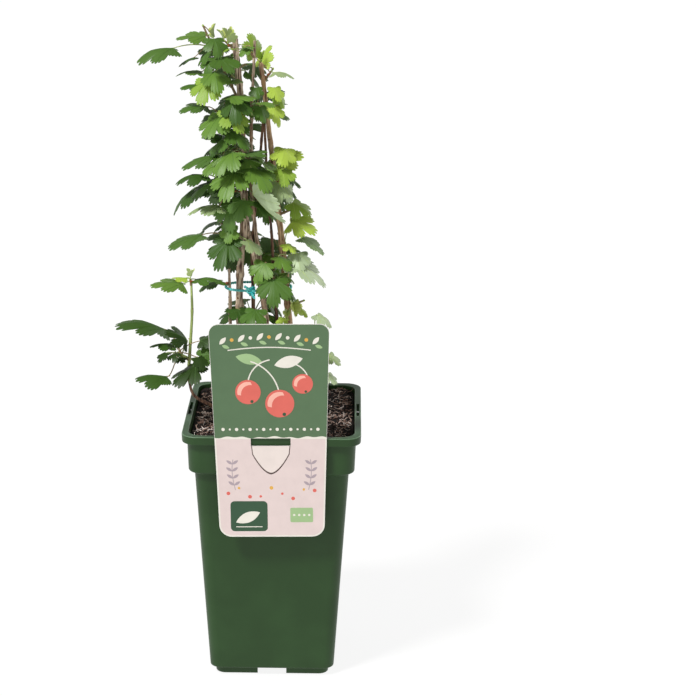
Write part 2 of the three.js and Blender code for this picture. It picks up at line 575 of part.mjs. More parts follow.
// Each mass has one twig: the limb and height it leaves, its turn, climb and length, the reach of
// its space, how many more leaves the rule adds and how long they are, and its leading blades:
// [x, y, z of the stalk's end, turn, climb, length, roll]. A mass apart stands outside the crown.
const MASSES = {
  leaves_top_left: {
    limb: "cane_thick", z: 492, turn: 183, climb: 65, length: 62, space: 60, more: 5, sizes: [14, 22],
    blades: [
      [-58, -4, 509, -165, -5, 20], [-54, -12, 514, -110, -50, 24], [-61, 5, 518, -170, -5, 20],
      [-49, -13, 521, -75, -35, 23], [-83, 0, 538, -170, -17, 31, -5], [-66, -3, 531, 170, -25, 14],
      [-44, -13, 533, -60, -25, 24], [-49, -7, 547, -70, -45, 19], [-57, 4, 547, -170, 0, 23, -15],
      [-49, 1, 548, 20, 85, 10],
    ],
  },
  leaves_thick_tip: {
    limb: "cane_thick", z: 536, turn: 165, climb: 40, length: 8, space: 22, more: 0, sizes: [8, 11],
    blades: [
      [-39, 1, 547, -130, 65, 10], [-36, 4, 548, 95, 70, 8], [-35, -8, 545, -60, 60, 9],
      [-43, 3, 545, 160, 55, 9],
    ],
  },
  leaves_middle_tip: {
    limb: "cane_middle", z: 531, turn: -150, climb: 50, length: 8, space: 26, more: 1, sizes: [9, 12],
    blades: [[-20, -3, 541, -140, -35, 13]],
  },
  leaves_right_tip: {
    limb: "cane_right", z: 510, turn: 40, climb: 45, length: 10, space: 50, more: 0, sizes: [12, 16],
    blades: [[-16, 10, 530, 140, 70, 21], [-1, 0, 519, -10, -5, 17], [-12, 14, 523, 40, 60, 19]],
  },
  leaves_right_hanging: {
    limb: "cane_right", z: 490, turn: -10, climb: 20, length: 10, space: 45, more: 0, sizes: [12, 18],
    blades: [
      [0, -4, 507, -60, -50, 14], [2, 2, 501, -40, -55, 14], [0, -3, 491, -70, -60, 15],
      [-1, 7, 486, -20, -65, 14],
    ],
  },
  leaves_between_canes: {
    limb: "cane_middle", z: 486, turn: -60, climb: 30, length: 8, space: 45, more: 2, sizes: [14, 20],
    blades: [
      [-15, -5, 507, -80, -50, 12], [-14, -7, 490, -80, -45, 14], [-20, -9, 487, -110, 20, 10],
    ],
  },
  leaves_upper_left: {
    limb: "cane_thick", z: 470, turn: 180, climb: 30, length: 14, space: 55, more: 4, sizes: [16, 24],
    blades: [[-56, 0, 490, -165, -5, 24, -8], [-44, -17, 486, -120, -35, 26]],
  },
  leaves_upper_front: {
    limb: "cane_thick", z: 482, turn: -80, climb: 30, length: 8, space: 50, more: 4, sizes: [18, 26],
    blades: [
      [-36, -14, 502, -25, 0, 24], [-35, -17, 491, -60, -40, 24], [-37, -18, 474, -35, -30, 24],
    ],
  },
  leaves_middle_left: {
    limb: "cane_thick", z: 445, turn: 190, climb: 25, length: 14, space: 60, more: 3, sizes: [18, 26],
    blades: [
      [-43, -3, 463, -155, -50, 18], [-48, -5, 450, -170, -15, 31], [-43, -17, 449, -135, -30, 23],
    ],
  },
  leaves_middle_front: {
    limb: "cane_middle", z: 440, turn: -90, climb: 30, length: 16, space: 55, more: 3, sizes: [20, 28],
    blades: [
      [-33, -24, 458, -130, -35, 26], [-26, -25, 455, -30, 5, 25], [-31, -27, 441, -110, -40, 30],
      [-18, -25, 444, -50, -30, 28],
    ],
  },
  leaves_lower_left: {
    limb: "cane_thick", z: 418, turn: 195, climb: 15, length: 12, space: 65, more: 2, sizes: [20, 28],
    blades: [
      [-57, -7, 434, -170, -10, 25], [-46, -13, 430, -140, -20, 28], [-62, 2, 422, -170, -40, 32],
      [-46, -11, 409, -160, -10, 27],
    ],
  },
  leaves_right_middle: {
    limb: "cane_right", z: 447, turn: -20, climb: 20, length: 10, space: 50, more: 2, sizes: [18, 26],
    blades: [[2, -6, 446, 12, 18, 23, 35], [7, -13, 441, -80, -35, 19]],
  },
  leaves_right_pale: {
    limb: "cane_right", z: 420, turn: -60, climb: 20, length: 14, space: 55, more: 1, sizes: [20, 26],
    blades: [[-17, -23, 422, -10, -40, 38, 150], [5, -4, 426, -15, -55, 17, 40]],
  },
  leaves_right_lower: {
    limb: "cane_right", z: 398, turn: -10, climb: 25, length: 16, space: 55, more: 2, sizes: [18, 26],
    blades: [
      [15, 4, 409, -25, -30, 21, 20], [14, -4, 394, -15, -15, 24, 32], [23, -2, 380, -10, -32, 24],
      [10, -8, 376, -50, -25, 13],
    ],
  },
  leaves_centre_dark: {
    limb: "cane_thick", z: 410, turn: -70, climb: 0, length: 10, space: 45, more: 2, sizes: [18, 24],
    blades: [[-34, -11, 411, -110, -62, 25], [-37, -12, 391, -100, -60, 15]],
  },
  leaves_lone_left: {
    limb: "cane_thick", z: 378, turn: 185, climb: 20, length: 12, space: 62, more: 1, sizes: [18, 26],
    blades: [
      [-61, -4, 382, -170, -20, 29, -4], [-38, -16, 380, -115, -48, 28],
      [-22, -14, 380, -30, -35, 18],
    ],
  },
  leaves_right_silver: {
    limb: "cane_right", z: 356, turn: -10, climb: 25, length: 12, space: 60, more: 2, sizes: [16, 24],
    blades: [[17, -7, 359, -10, -30, 34, 5], [4, -10, 366, -45, -30, 17], [21, 6, 357, 0, -5, 13]],
  },
  leaves_front_low: {
    limb: "cane_middle", z: 344, turn: -60, climb: 15, length: 18, space: 55, more: 1, sizes: [18, 22],
    blades: [[0, -26, 350, -85, -55, 27], [1, -25, 346, -25, -35, 25]],
  },
  leaves_young_right: {
    limb: "cane_right", z: 318, turn: -20, climb: 25, length: 12, space: 34, more: 0, sizes: [8, 13],
    blades: [
      [16, -8, 325, -70, -50, 14], [20, -5, 320, -20, -35, 12], [12, -9, 318, -100, -40, 10],
      [8, -9, 312, -110, -30, 11],
    ],
  },
  leaves_left_foot: {
    limb: "cane_left", z: 338, turn: 200, climb: 20, length: 6, space: 36, more: 0, sizes: [12, 18],
    blades: [[-45, -5, 343, -165, -15, 20]],
  },
  leaves_behind_label: {
    limb: "cane_crossing", z: 298, turn: -110, climb: 25, length: 10, space: 50, more: 2, sizes: [16, 22],
    blades: [[-15, -21, 322, -110, -40, 22], [-32, -18, 320, -60, -35, 18]],
  },
  leaves_right_branch: {
    limb: "right_branch", tip: true, turn: -40, climb: 60, length: 10,
    apart: true, space: 60, more: 1, sizes: [14, 20],
    blades: [
      [37, -10, 315, -25, -38, 17], [47, -8, 280, -35, -35, 15], [46, -12, 264, -50, -30, 13],
    ],
  },
  leaves_shoot_tip: {
    limb: "left_shoot", tip: true, turn: 170, climb: 80, length: 4,
    apart: true, space: 50, more: 0, sizes: [8, 12],
    blades: [
      [-76, -18, 343, -170, 4, 28, -6], [-73, -14, 346, 170, 0, 14], [-65, -17, 347, -10, 2, 19],
      [-69, -20, 350, -60, 50, 10],
    ],
  },
  leaves_low_left: {
    limb: "left_shoot", z: 276, turn: 200, climb: 40, length: 9,
    apart: true, space: 62, more: 0, sizes: [14, 20],
    blades: [
      [-93, -10, 301, -170, 12, 39], [-73, -24, 296, -150, 32, 23, -35],
      [-85, -17, 289, -175, 0, 20], [-65, -30, 275, -135, -25, 28],
      [-90, -24, 263, -170, 0, 28, -3], [-60, -25, 281, 20, 35, 19, 45],
      [-62, -20, 294, -10, 15, 18, 20],
    ],
  },
  leaves_back_top: {
    limb: "cane_thick", z: 506, turn: 100, climb: 35, length: 16,
    space: 42, more: 5, sizes: [18, 26], blades: [],
  },
  leaves_back_upper: {
    limb: "cane_middle", z: 476, turn: 85, climb: 30, length: 14,
    space: 50, more: 6, sizes: [20, 30], blades: [],
  },
  leaves_back_left: {
    limb: "cane_crossing", z: 446, turn: 135, climb: 20, length: 14, space: 52, more: 6, sizes: [22, 32],
    blades: [],
  },
  leaves_back_right: {
    limb: "cane_right", z: 422, turn: 75, climb: 20, length: 14,
    space: 50, more: 6, sizes: [22, 32], blades: [],
  },
  leaves_back_middle: {
    limb: "cane_dark", z: 400, turn: 100, climb: 20, length: 15,
    space: 52, more: 7, sizes: [22, 32], blades: [[-9, 20, 404, -70, -65, 20]],
  },
  leaves_back_low_left: {
    limb: "cane_thick", z: 366, turn: 115, climb: 20, length: 15, space: 52, more: 6, sizes: [22, 32],
    blades: [[-36, 14, 364, -100, -70, 20], [-23, 19, 372, -90, -75, 22]],
  },
  leaves_back_low_right: {
    limb: "cane_slender", z: 352, turn: 60, climb: 20, length: 14, space: 52, more: 6, sizes: [20, 30],
    blades: [],
  },
  leaves_back_foot: {
    limb: "cane_dark", z: 300, turn: 100, climb: 25, length: 14,
    space: 48, more: 5, sizes: [18, 26], blades: [],
  },
};

// The twig's line: it starts clear of the limb's side, or of its tip.
function twigEnds(mass) {
  const limb = LIMBS[mass.limb];
  const share = mass.tip ? 1 : shareAt(limb, mass.z);
  const start = limb.curve.getPoint(share);
  const way = heading(mass.turn, mass.climb);
  if (mass.tip) start.addScaledVector(way, GAP + TWIG.foot);
  else {
    const clear = limb.radiusAt(share) + GAP + 0.1 + TWIG.foot * Math.sin(radians(mass.climb));
    start.addScaledVector(way, clear / Math.cos(radians(mass.climb)));
  }
  return [start, start.clone().addScaledVector(way, mass.length)];
}

function makeLeaf(mass, share, base, [turn, climb, size, roll], looks) {
  const start = mass.twig[0].clone().lerp(mass.twig[1], share);
  const fold = mix(8, 36, looks[0]);
  const curl = mix(0.1, 0.45, looks[1]);
  const leaf = { start, base, turn, climb, size, roll, fold, curl };
  leaf.axes = bladeAxes(leaf);
  return leaf;
}

function addLeaf(mass, leaf) {
  for (const point of leafPoints(leaf)) taken.push({ ...point, mass });
  mass.leaves.push(leaf);
}

// A leading leaf that would touch something moves a little forward or back until it is clear.
function growLeading(mass) {
  mass.blades.forEach(([x, y, z, turn, climb, size, roll = 0], i) => {
    const share = mix(0.35, 1, (i + 1) / mass.blades.length);
    const looks = [mass.roll(), mass.roll()];
    for (const shift of SHIFTS) {
      const leaf = makeLeaf(mass, share, place(x, y + shift, z), [turn, climb, size, roll], looks);
      if (!touches(leafPoints(leaf), mass)) {
        addLeaf(mass, leaf);
        break;
      }
    }
  });
}

function inCrown(spot) {
  const share = (spot.z - CROWN.lowZ) / (CROWN.highZ - CROWN.lowZ);
  const radius = mix(CROWN.lowRadius, CROWN.highRadius, share);
  const deep = (spot.y - CROWN.y) / (spot.y > CROWN.y ? CROWN_BACK : 1);
  return Math.hypot(spot.x - mix(CROWN.lowX, CROWN.highX, share), deep) < radius;
}

function growMore(mass) {
  const middle = mass.twig[0].clone().lerp(mass.twig[1], 0.5);
  for (let leafCount = 0; leafCount < mass.more; leafCount++) {
    for (let attempt = 0; attempt < TRIES; attempt++) {
      const share = mix(0.4, 1, mass.roll());
      const turn = mass.turn + mix(-75, 75, mass.roll());
      const reach = mix(6, 0.5 * mass.space, mass.roll());
      const stalk = heading(turn, mix(-15, 55, mass.roll())).multiplyScalar(reach);
      const base = mass.twig[0].clone().lerp(mass.twig[1], share).add(stalk);
      const bladeTurn = turn + mix(-35, 35, mass.roll());
      const climb = mix(-60, 5, mass.roll());
      const size = mix(mass.sizes[0], mass.sizes[1], mass.roll());
      const tilt = mix(-25, 25, mass.roll());
      const looks = [mass.roll(), mass.roll()];
      const leaf = makeLeaf(mass, share, base, [bladeTurn, climb, size, tilt], looks);
      const points = leafPoints(leaf);
      const inside = points.every(
        ({ spot }) => spot.distanceTo(middle) < mass.space && (mass.apart || inCrown(spot)),
      );
      if (inside && !touches(points, mass)) {
        addLeaf(mass, leaf);
        break;
      }
    }
  }
}

Object.values(MASSES).forEach((mass, i) => {
  mass.roll = dice(SEED + 7919 * i);
  mass.twig = twigEnds(mass);
  mass.leaves = [];
  const steps = Math.ceil(mass.length / 3);
  for (let step = 1; step <= steps; step++) {
    const spot = mass.twig[0].clone().lerp(mass.twig[1], step / steps);
    taken.push({ spot, room: TWIG.foot + 0.4, blade: false, mass });
  }
});
Object.values(MASSES).forEach(growLeading);
Object.values(MASSES).forEach(growMore);

// The fused mass without any hollow that its leaves seal between them.
function massSolid(mass) {
  const line = new THREE.LineCurve3(...mass.twig);
  const twig = bentLimb(line, (share) => mix(TWIG.foot, TWIG.tip, share), 4, 1);
  const bodies = join([twig, ...mass.leaves.map(leafSolid)]).decompose();
  return bodies.reduce((most, body) => (body.volume() > most.volume() ? body : most));
}

// ---- the whole plant in its pot ---------------------------------------------------------

const COLOURS = {
  pot: 0x364d30, soil: 0x2b1d18, label_card: 0x5b7a5a, tie_lower: 0x1fa39c, tie_upper: 0x1fa39c,
  cane_dark: 0x5c4038, cane_slender: 0x5c4038, left_shoot: 0xa3b06a, low_branch: 0x5c4a38,
};
const BARK = 0xa08872;
const LEAF_GREEN = 0x4a7a35;

const bush = new THREE.Group();

function add(name, solid, colour, roughness) {
  const material = new THREE.MeshStandardMaterial({ color: colour, roughness, metalness: 0 });
  const mesh = new THREE.Mesh(geometryOf(solid), material);
  mesh.name = name;
  bush.add(mesh);
  return mesh;
}

add("pot", pot(), COLOURS.pot, 0.45);
add("soil", soil(), COLOURS.soil, 1);
const label = add("label_card", labelCard().translate(0, 0, -SLOT.bottomZ), COLOURS.label_card, 0.5);
label.position.z = SLOT.bottomZ;
label.rotation.y = -radians(CARD_LEAN);
for (const [name, tie] of Object.entries(TIES)) add(name, tieSolid(tie), COLOURS[name], 0.5);
for (const [name, limb] of Object.entries(LIMBS)) add(name, limbSolid(limb), COLOURS[name] ?? BARK, 0.85);
for (const [name, mass] of Object.entries(MASSES)) add(name, massSolid(mass), LEAF_GREEN, 0.6);

export default bush;
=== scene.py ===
"""A young gooseberry bush, tied into a slim column of canes, in a square nursery pot with a card label.

Sizes are in millimetres and become metres where a mesh is made. +Z is up and the label faces -Y.
"""

import math
from dataclasses import dataclass
from types import SimpleNamespace as Sizes

import bpy
import numpy as np
from mathutils import Matrix, Vector
from mathutils.noise import noise


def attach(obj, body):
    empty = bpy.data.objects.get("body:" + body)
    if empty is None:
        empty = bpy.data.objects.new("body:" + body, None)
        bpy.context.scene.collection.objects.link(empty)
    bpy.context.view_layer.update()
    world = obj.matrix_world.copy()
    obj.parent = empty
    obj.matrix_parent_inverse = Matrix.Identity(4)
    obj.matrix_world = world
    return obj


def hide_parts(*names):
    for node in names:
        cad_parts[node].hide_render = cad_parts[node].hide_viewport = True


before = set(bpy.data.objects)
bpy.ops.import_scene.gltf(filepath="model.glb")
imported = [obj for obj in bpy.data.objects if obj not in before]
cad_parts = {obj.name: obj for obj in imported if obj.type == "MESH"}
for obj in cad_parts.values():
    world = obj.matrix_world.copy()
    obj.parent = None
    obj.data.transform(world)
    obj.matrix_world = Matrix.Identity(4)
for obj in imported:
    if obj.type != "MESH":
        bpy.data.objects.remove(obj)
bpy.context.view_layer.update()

MM = 0.001

# ---- camera and studio ------------------------------------------------------------------------

CAMERA = Sizes(place=(63.0, -1635.6, 786.6), pitch=17.11, roll=0.70, sensor=36.0)
PICTURE = 696
FOCAL = 2000.0  # the camera's focal length, in widths of one picture element
AIR = {"From Min": 0.12, "From Max": 0.6, "To Min": 0.8, "To Max": 0.2}  # its light, by height
BANK = Sizes(way=(0.55, 0.55, -1.0), spread=11, power=2.9)
SOFTBOX = Sizes(place=(0.9, 1.1, 0.9), way=(-0.9, -1.1, -0.6), wide=0.6, power=4)
FLOOR = Sizes(reach=40.0, z=-0.0005)


def placed(name, data):
    """A new object in the scene."""
    made = bpy.data.objects.new(name, data)
    bpy.context.scene.collection.objects.link(made)
    return made


def facing(way):
    """The turn of a lamp that shines along a way."""
    return Vector(way).to_track_quat("-Z", "Y").to_euler()


def make_camera():
    data = bpy.data.cameras.new("studio_camera")
    data.sensor_width = CAMERA.sensor
    data.lens = FOCAL / PICTURE * CAMERA.sensor
    camera = placed("studio_camera", data)
    turn = Matrix.Rotation(math.radians(90 - CAMERA.pitch), 4, "X")
    roll = Matrix.Rotation(math.radians(CAMERA.roll), 4, "Z")
    camera.matrix_world = Matrix.Translation(Vector(CAMERA.place) * MM) @ turn @ roll
    bpy.context.scene.camera = camera


def make_studio():
    """A white cove: bright near the horizon and dimmer overhead, with a broad light above it."""
    scene = bpy.context.scene
    scene.view_settings.view_transform = "Standard"
    scene.world = bpy.data.worlds.new("studio_air")
    scene.world.use_nodes = True
    tree = scene.world.node_tree
    way = add(tree, "SeparateXYZ", {"Vector": add(tree, "TexCoord").outputs["Generated"]})
    strength = add(tree, "MapRange", AIR | {"Value": way.outputs["Z"]})
    air = tree.nodes["Background"].inputs
    tree.links.new(strength.outputs[0], air["Strength"])
    air["Color"].default_value = (1, 1, 1, 1)
    above = bpy.data.lights.new("overhead_bank", "SUN")
    above.energy = BANK.power
    above.angle = math.radians(BANK.spread)
    placed("overhead_bank", above).rotation_euler = facing(BANK.way)
    beside = bpy.data.lights.new("edge_softbox", "AREA")
    beside.size = SOFTBOX.wide
    beside.energy = SOFTBOX.power
    softbox = placed("edge_softbox", beside)
    softbox.location = SOFTBOX.place
    softbox.rotation_euler = facing(SOFTBOX.way)


def make_floor():
    mesh = bpy.data.meshes.new("studio_floor")
    corners = [(x * FLOOR.reach, y * FLOOR.reach, 0) for x, y in ((-1, -1), (1, -1), (1, 1), (-1, 1))]
    mesh.from_pydata(corners, [], [(0, 1, 2, 3)])
    mesh.materials.append(floor_sheet())
    floor = placed("studio_floor", mesh)
    floor.location.z = FLOOR.z


# ---- materials --------------------------------------------------------------------------------

FACTOR, FIRST, SECOND, RESULT = 0, 6, 7, 2  # the colour sockets of a Mix node


def linear(hex_colour, share=1.0):
    """A share of an sRGB hex colour, as the linear values that a shader takes."""
    parts = [int(hex_colour[i : i + 2], 16) / 255 for i in (1, 3, 5)]
    return [share * (p / 12.92 if p < 0.04045 else ((p + 0.055) / 1.055) ** 2.4) for p in parts] + [1]


def add(tree, kind, inputs=None, **settings):
    """A new shader node. Each input is a plain value, or the socket that feeds it."""
    made = tree.nodes.new("ShaderNode" + kind)
    for name, value in settings.items():
        setattr(made, name, value)
    for name, value in (inputs or {}).items():
        if isinstance(value, bpy.types.NodeSocket):
            tree.links.new(value, made.inputs[name])
        else:
            made.inputs[name].default_value = value
    return made


def blank(name, roughness, ior, specular=0.5):
    """A material with nothing but its principled shader, and that shader."""
    material = bpy.data.materials.new(name)
    material.use_nodes = True
    shader = material.node_tree.nodes["Principled BSDF"]
    for socket, value in (("Roughness", roughness), ("IOR", ior), ("Specular IOR Level", specular)):
        shader.inputs[socket].default_value = value
    return material, material.node_tree, shader


def speckled(tree, shader, first, second, size, low=0.4, high=0.6, detail=3.0, stretch=(1, 1, 1)):
    """Feeds the base colour from two colours mixed in soft spots `size` millimetres across."""
    place = add(tree, "TexCoord").outputs["Object"]
    scaled = add(tree, "Mapping", {"Vector": place, "Scale": stretch}).outputs[0]
    spots = add(tree, "TexNoise", {"Vector": scaled, "Scale": 1 / (size * MM), "Detail": detail})
    share = add(tree, "MapRange", {"Value": spots.outputs[0], "From Min": low, "From Max": high})
    sockets = {FACTOR: share.outputs[0], FIRST: first, SECOND: second}
    mixed = add(tree, "Mix", sockets, data_type="RGBA").outputs[RESULT]
    tree.links.new(mixed, shader.inputs["Base Color"])
    return scaled, mixed


def roughened(tree, shader, size, depth, vector=None):
    """Feeds the normal from a fine unevenness `size` across and `depth` deep, in millimetres."""
    if vector is None:
        vector = add(tree, "TexCoord").outputs["Object"]
    grain = add(tree, "TexNoise", {"Vector": vector, "Scale": 1 / (size * MM), "Detail": 4.0})
    bump = add(tree, "Bump", {"Height": grain.outputs[0], "Distance": depth * MM, "Strength": 1.0})
    tree.links.new(bump.outputs[0], shader.inputs["Normal"])


def mottled(made, colours, spots, relief):
    """A blank material with two colours in spots (speckled's values) and relief (roughened's)."""
    material, tree, shader = made
    speckled(tree, shader, *colours, *spots)
    roughened(tree, shader, *relief)
    return material


def pot_polypropylene(name, colour, cloud_colour, roughness):
    """Injection-moulded polypropylene, dyed through: an even, waxy half-sheen with faint clouds."""
    made = blank(name, roughness, 1.49, 0.3)
    return mottled(made, (linear(colour), linear(cloud_colour)), (38, 0.45, 0.75), (0.9, 0.012))


def peat(name, first, second, size):
    """Moist peat compost: crumbs that drink the light, with damp darker hollows."""
    made = blank(name, 0.9, 1.4)
    return mottled(made, (linear(first), linear(second)), (size, 0.42, 0.62, 5), (0.8, 0.35))


def printed_board(name, colour):
    """Coated board under printing ink: a flat even colour with the coating's soft sheen."""
    made = blank(name, 0.42, 1.5, 0.3)
    return mottled(made, (linear(colour), linear(colour, 0.94)), (9, 0.35, 0.75), (0.35, 0.006))


def tie_string(name):
    """Soft extruded vinyl string: bright teal with a gentle plastic shine."""
    return mottled(blank(name, 0.38, 1.53), (linear("#1fb0b4"), linear("#6fd8d4")), (3,), (0.4, 0.02))


def bark(name, ridge, furrow, patch):
    """Thin papery bark on a year-old cane: pale strips along it, with darker bark between them."""
    material, tree, shader = blank(name, 0.8, 1.45)
    colours = linear(furrow), linear(ridge)
    strips, mixed = speckled(tree, shader, *colours, 1.6, 0.38, 0.6, 5, stretch=(1, 1, 0.12))
    speckled(tree, shader, mixed, linear(patch), 14, 0.52, 0.66, 2)
    roughened(tree, shader, 0.9, 0.25, strips)
    return material


def leaf_skin(name, colour, roughness=0.46):
    """The waxy skin of a living leaf or stalk: one even green a leaf, half matt and finely pored."""
    material, tree, shader = blank(name, roughness, 1.42)
    shader.inputs["Base Color"].default_value = linear(colour)
    roughened(tree, shader, 1.1, 0.1)
    return material


def floor_sheet():
    """White acrylic sheet on a light table: matt, and lit from below, so shadows stay faint."""
    material, _, shader = blank("studio_floor_sheet", 0.9, 1.45)
    shader.inputs["Base Color"].default_value = linear("#626261")
    shader.inputs["Emission Color"].default_value = linear("#ffffff")
    shader.inputs["Emission Strength"].default_value = 0.88
    return material


# ---- meshes -----------------------------------------------------------------------------------


def make_piece(name, parts, finishes, record_slot, nodes=(), crease=35):
    """One mesh from closed parts, each (points, faces) and a finish number, or one a face."""
    points, faces, numbers = [], [], []
    start = 0
    for part_points, part_faces, *finish in parts:
        finish = finish[0] if finish else 0
        points.append(np.asarray(part_points, float))
        faces.extend([tuple(int(i) + start for i in face) for face in part_faces])
        numbers.extend([finish] * len(part_faces) if np.isscalar(finish) else finish)
        start += len(part_points)
    mesh = bpy.data.meshes.new(name)
    mesh.from_pydata((np.concatenate(points) * MM).tolist(), [], faces)
    for finish in finishes:
        mesh.materials.append(finish)
    mesh.polygons.foreach_set("material_index", np.asarray(numbers, np.int32))
    mesh.shade_smooth()
    mesh.set_sharp_from_angle(angle=math.radians(crease))
    mesh.validate()
    made = placed(name, mesh)
    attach(made, "root")
    if nodes:
        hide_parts(*nodes)
    return made


def carve(target, tool, operation="DIFFERENCE"):
    """Cuts the tool out of the target, or joins it on, and removes the tool."""
    cut = target.modifiers.new("carve", "BOOLEAN")
    cut.operation = operation
    cut.solver = "EXACT"
    cut.object = tool
    bpy.context.view_layer.update()
    carved = target.evaluated_get(bpy.context.evaluated_depsgraph_get())
    shape = bpy.data.meshes.new_from_object(carved)
    target.modifiers.clear()
    target.data = shape
    shape.set_sharp_from_angle(angle=math.radians(30))
    bpy.data.objects.remove(tool)


def ring_faces(rings, sides):
    """Faces of a closed sleeve of rings, each with the same number of points, anticlockwise."""
    faces = []
    for low in range(0, (rings - 1) * sides, sides):
        high = low + sides
        for side in range(sides):
            after = (side + 1) % sides
            faces.append((low + side, low + after, high + after, high + side))
    faces.append(tuple(reversed(range(sides))))
    faces.append(tuple((rings - 1) * sides + side for side in range(sides)))
    return faces


def unit(vectors):
    return vectors / np.linalg.norm(vectors, axis=-1, keepdims=True)


def mix(low, high, share):
    return low + (high - low) * share


def tube(line, radii, sides):
    """A closed tube along a line of points. Its radii are one value, one a ring, or one a corner."""
    line = np.asarray(line, float)
    radii = np.asarray(radii, float)
    if radii.ndim < 2:
        radii = np.broadcast_to(radii.reshape(-1, 1) if radii.ndim else radii, (len(line), sides))
    along = unit(np.gradient(line, axis=0))
    aside = np.cross(along[0], (0.0, 0.0, 1.0))
    if np.linalg.norm(aside) < 0.2:
        aside = np.cross(along[0], (0.0, 1.0, 0.0))
    angles = np.arange(sides) * 2 * np.pi / sides
    rings = []
    for spot, way, radius in zip(line, along, radii):
        aside = unit(aside - way * np.dot(aside, way))
        right, ahead = radius * np.cos(angles), radius * np.sin(angles)
        rings.append(spot + np.outer(right, aside) + np.outer(ahead, np.cross(way, aside)))
    return np.concatenate(rings), ring_faces(len(line), sides)


def block(size, middle):
    """A plain box, used only to cut with or to join on."""
    x, y, z = np.asarray(size) / 2
    corners = [(-x, -y), (x, -y), (x, y), (-x, y)]
    points = [(a, b, c) for c in (-z, z) for a, b in corners]
    return np.array(points) + middle, ring_faces(2, 4)


def upright(outline, back, thick):
    """A plate of even thickness whose outline is in X and Z, counted anticlockwise from the front."""
    outline = np.asarray(outline, float)
    rear = np.column_stack([outline[:, 0], np.full(len(outline), back), outline[:, 1]])
    return np.concatenate([rear, rear - (0, thick, 0)]), ring_faces(2, len(outline))


def arc(x, z, radius, start, end, count):
    """Points on a circle between two angles, in degrees."""
    turns = np.radians(np.linspace(start, end, count))
    return [(x + radius * math.cos(t), z + radius * math.sin(t)) for t in turns]


def rounded(half, low, high, radii, x=0, count=8):
    """An outline with four rounded corners. `half` gives its half width at a height."""
    spots = []
    for quarter in range(4):
        side = 1 if quarter in (0, 3) else -1
        z, radius, up = (high, radii[1], -1) if quarter < 2 else (low, radii[0], 1)
        start = 90 * quarter
        spots += arc(x + side * (half(z) - radius), z + up * radius, radius, start, start + 90, count)
    return spots


# ---- pot --------------------------------------------------------------------------------------

WALL = 1.4
CORNER_SHARE = 0.085  # corner radius over width
FOOT = Sizes(height=6.9, width=98.9, ring=4, notch=25, notch_height=5.5, pad_radius=20, pad_sunk=0.8)
BODY = Sizes(bottom=107.5, top=130.3)
COLLAR = Sizes(z=193, chamfer=2.2, bottom=139.5, top=141.8)
LIP = Sizes(z=219.9, top=227.2, width=150, plate=1.6, draft=0.6)
RIM_SLOT = Sizes(length=32, width=2.4, middle=72.2, tall=8)
# Small ribs in the groove under the lip: two across it under each slot, and one past each end.
RIB = Sizes(thick=1.2, width=3.4, high=5.9, inner=5.5, sunk=0.3, clear=0.2)
RIM_HIGHLIGHT = Sizes(deep=1.3, slope=0.15, level=0.97)  # where the lip's painted highlights go, by place and slope
DRAIN = Sizes(radius=4, ring=34, count=8)
HUB = 8  # the width at which the floor's rings begin
FLOOR_TOP = FOOT.height + 1.7
LEDGE_Z = COLLAR.z + WALL
SIDES = ((1, 0), (0, 1), (-1, 0), (0, -1))


def body_width(z):
    return mix(BODY.bottom, BODY.top, (z - FOOT.height) / (COLLAR.z - FOOT.height))


def square_ring(width, z):
    """A square of rounded corners, as points from the middle of its +X side round anticlockwise."""
    half, radius = width / 2, width * CORNER_SHARE
    return [(x, y, z) for x, y in rounded(lambda _: half, -half, half, (radius, radius), count=9)]


def eased(profile, steps=4):
    """A line of (width, z, ease) corners with each corner rounded over by its ease."""
    spots = [profile[0][:2]]
    scale = np.array([0.5, 1])  # widths are across the pot, so a half of each is the run
    for before, corner, after in zip(profile, profile[1:], profile[2:]):
        here = np.array(corner[:2], float)
        ends = []
        for other in (before, after):
            run = (np.array(other[:2]) - here) * scale
            reach = min(corner[2], 0.45 * np.linalg.norm(run))
            ends.append(here + unit(run) * reach / scale)
        for share in np.linspace(0, 1, steps + 1):
            spots.append(tuple(bowed(ends[0], here, ends[1], share)))
    return spots + [profile[-1][:2]]


def bowed(start, bend, end, share):
    """A place on the curve from start to end that leans towards the bend."""
    return (1 - share) ** 2 * start + 2 * share * (1 - share) * bend + share**2 * end


def turned_block(side, deep, wide, tall, middle, z, shift=0.0):
    """A box on one of the pot's sides: how deep it goes in, how wide along the side, how tall."""
    c, s = side
    size = abs(c) * deep + abs(s) * wide, abs(s) * deep + abs(c) * wide, tall
    return block(size, (c * middle + s * shift, s * middle + c * shift, z))


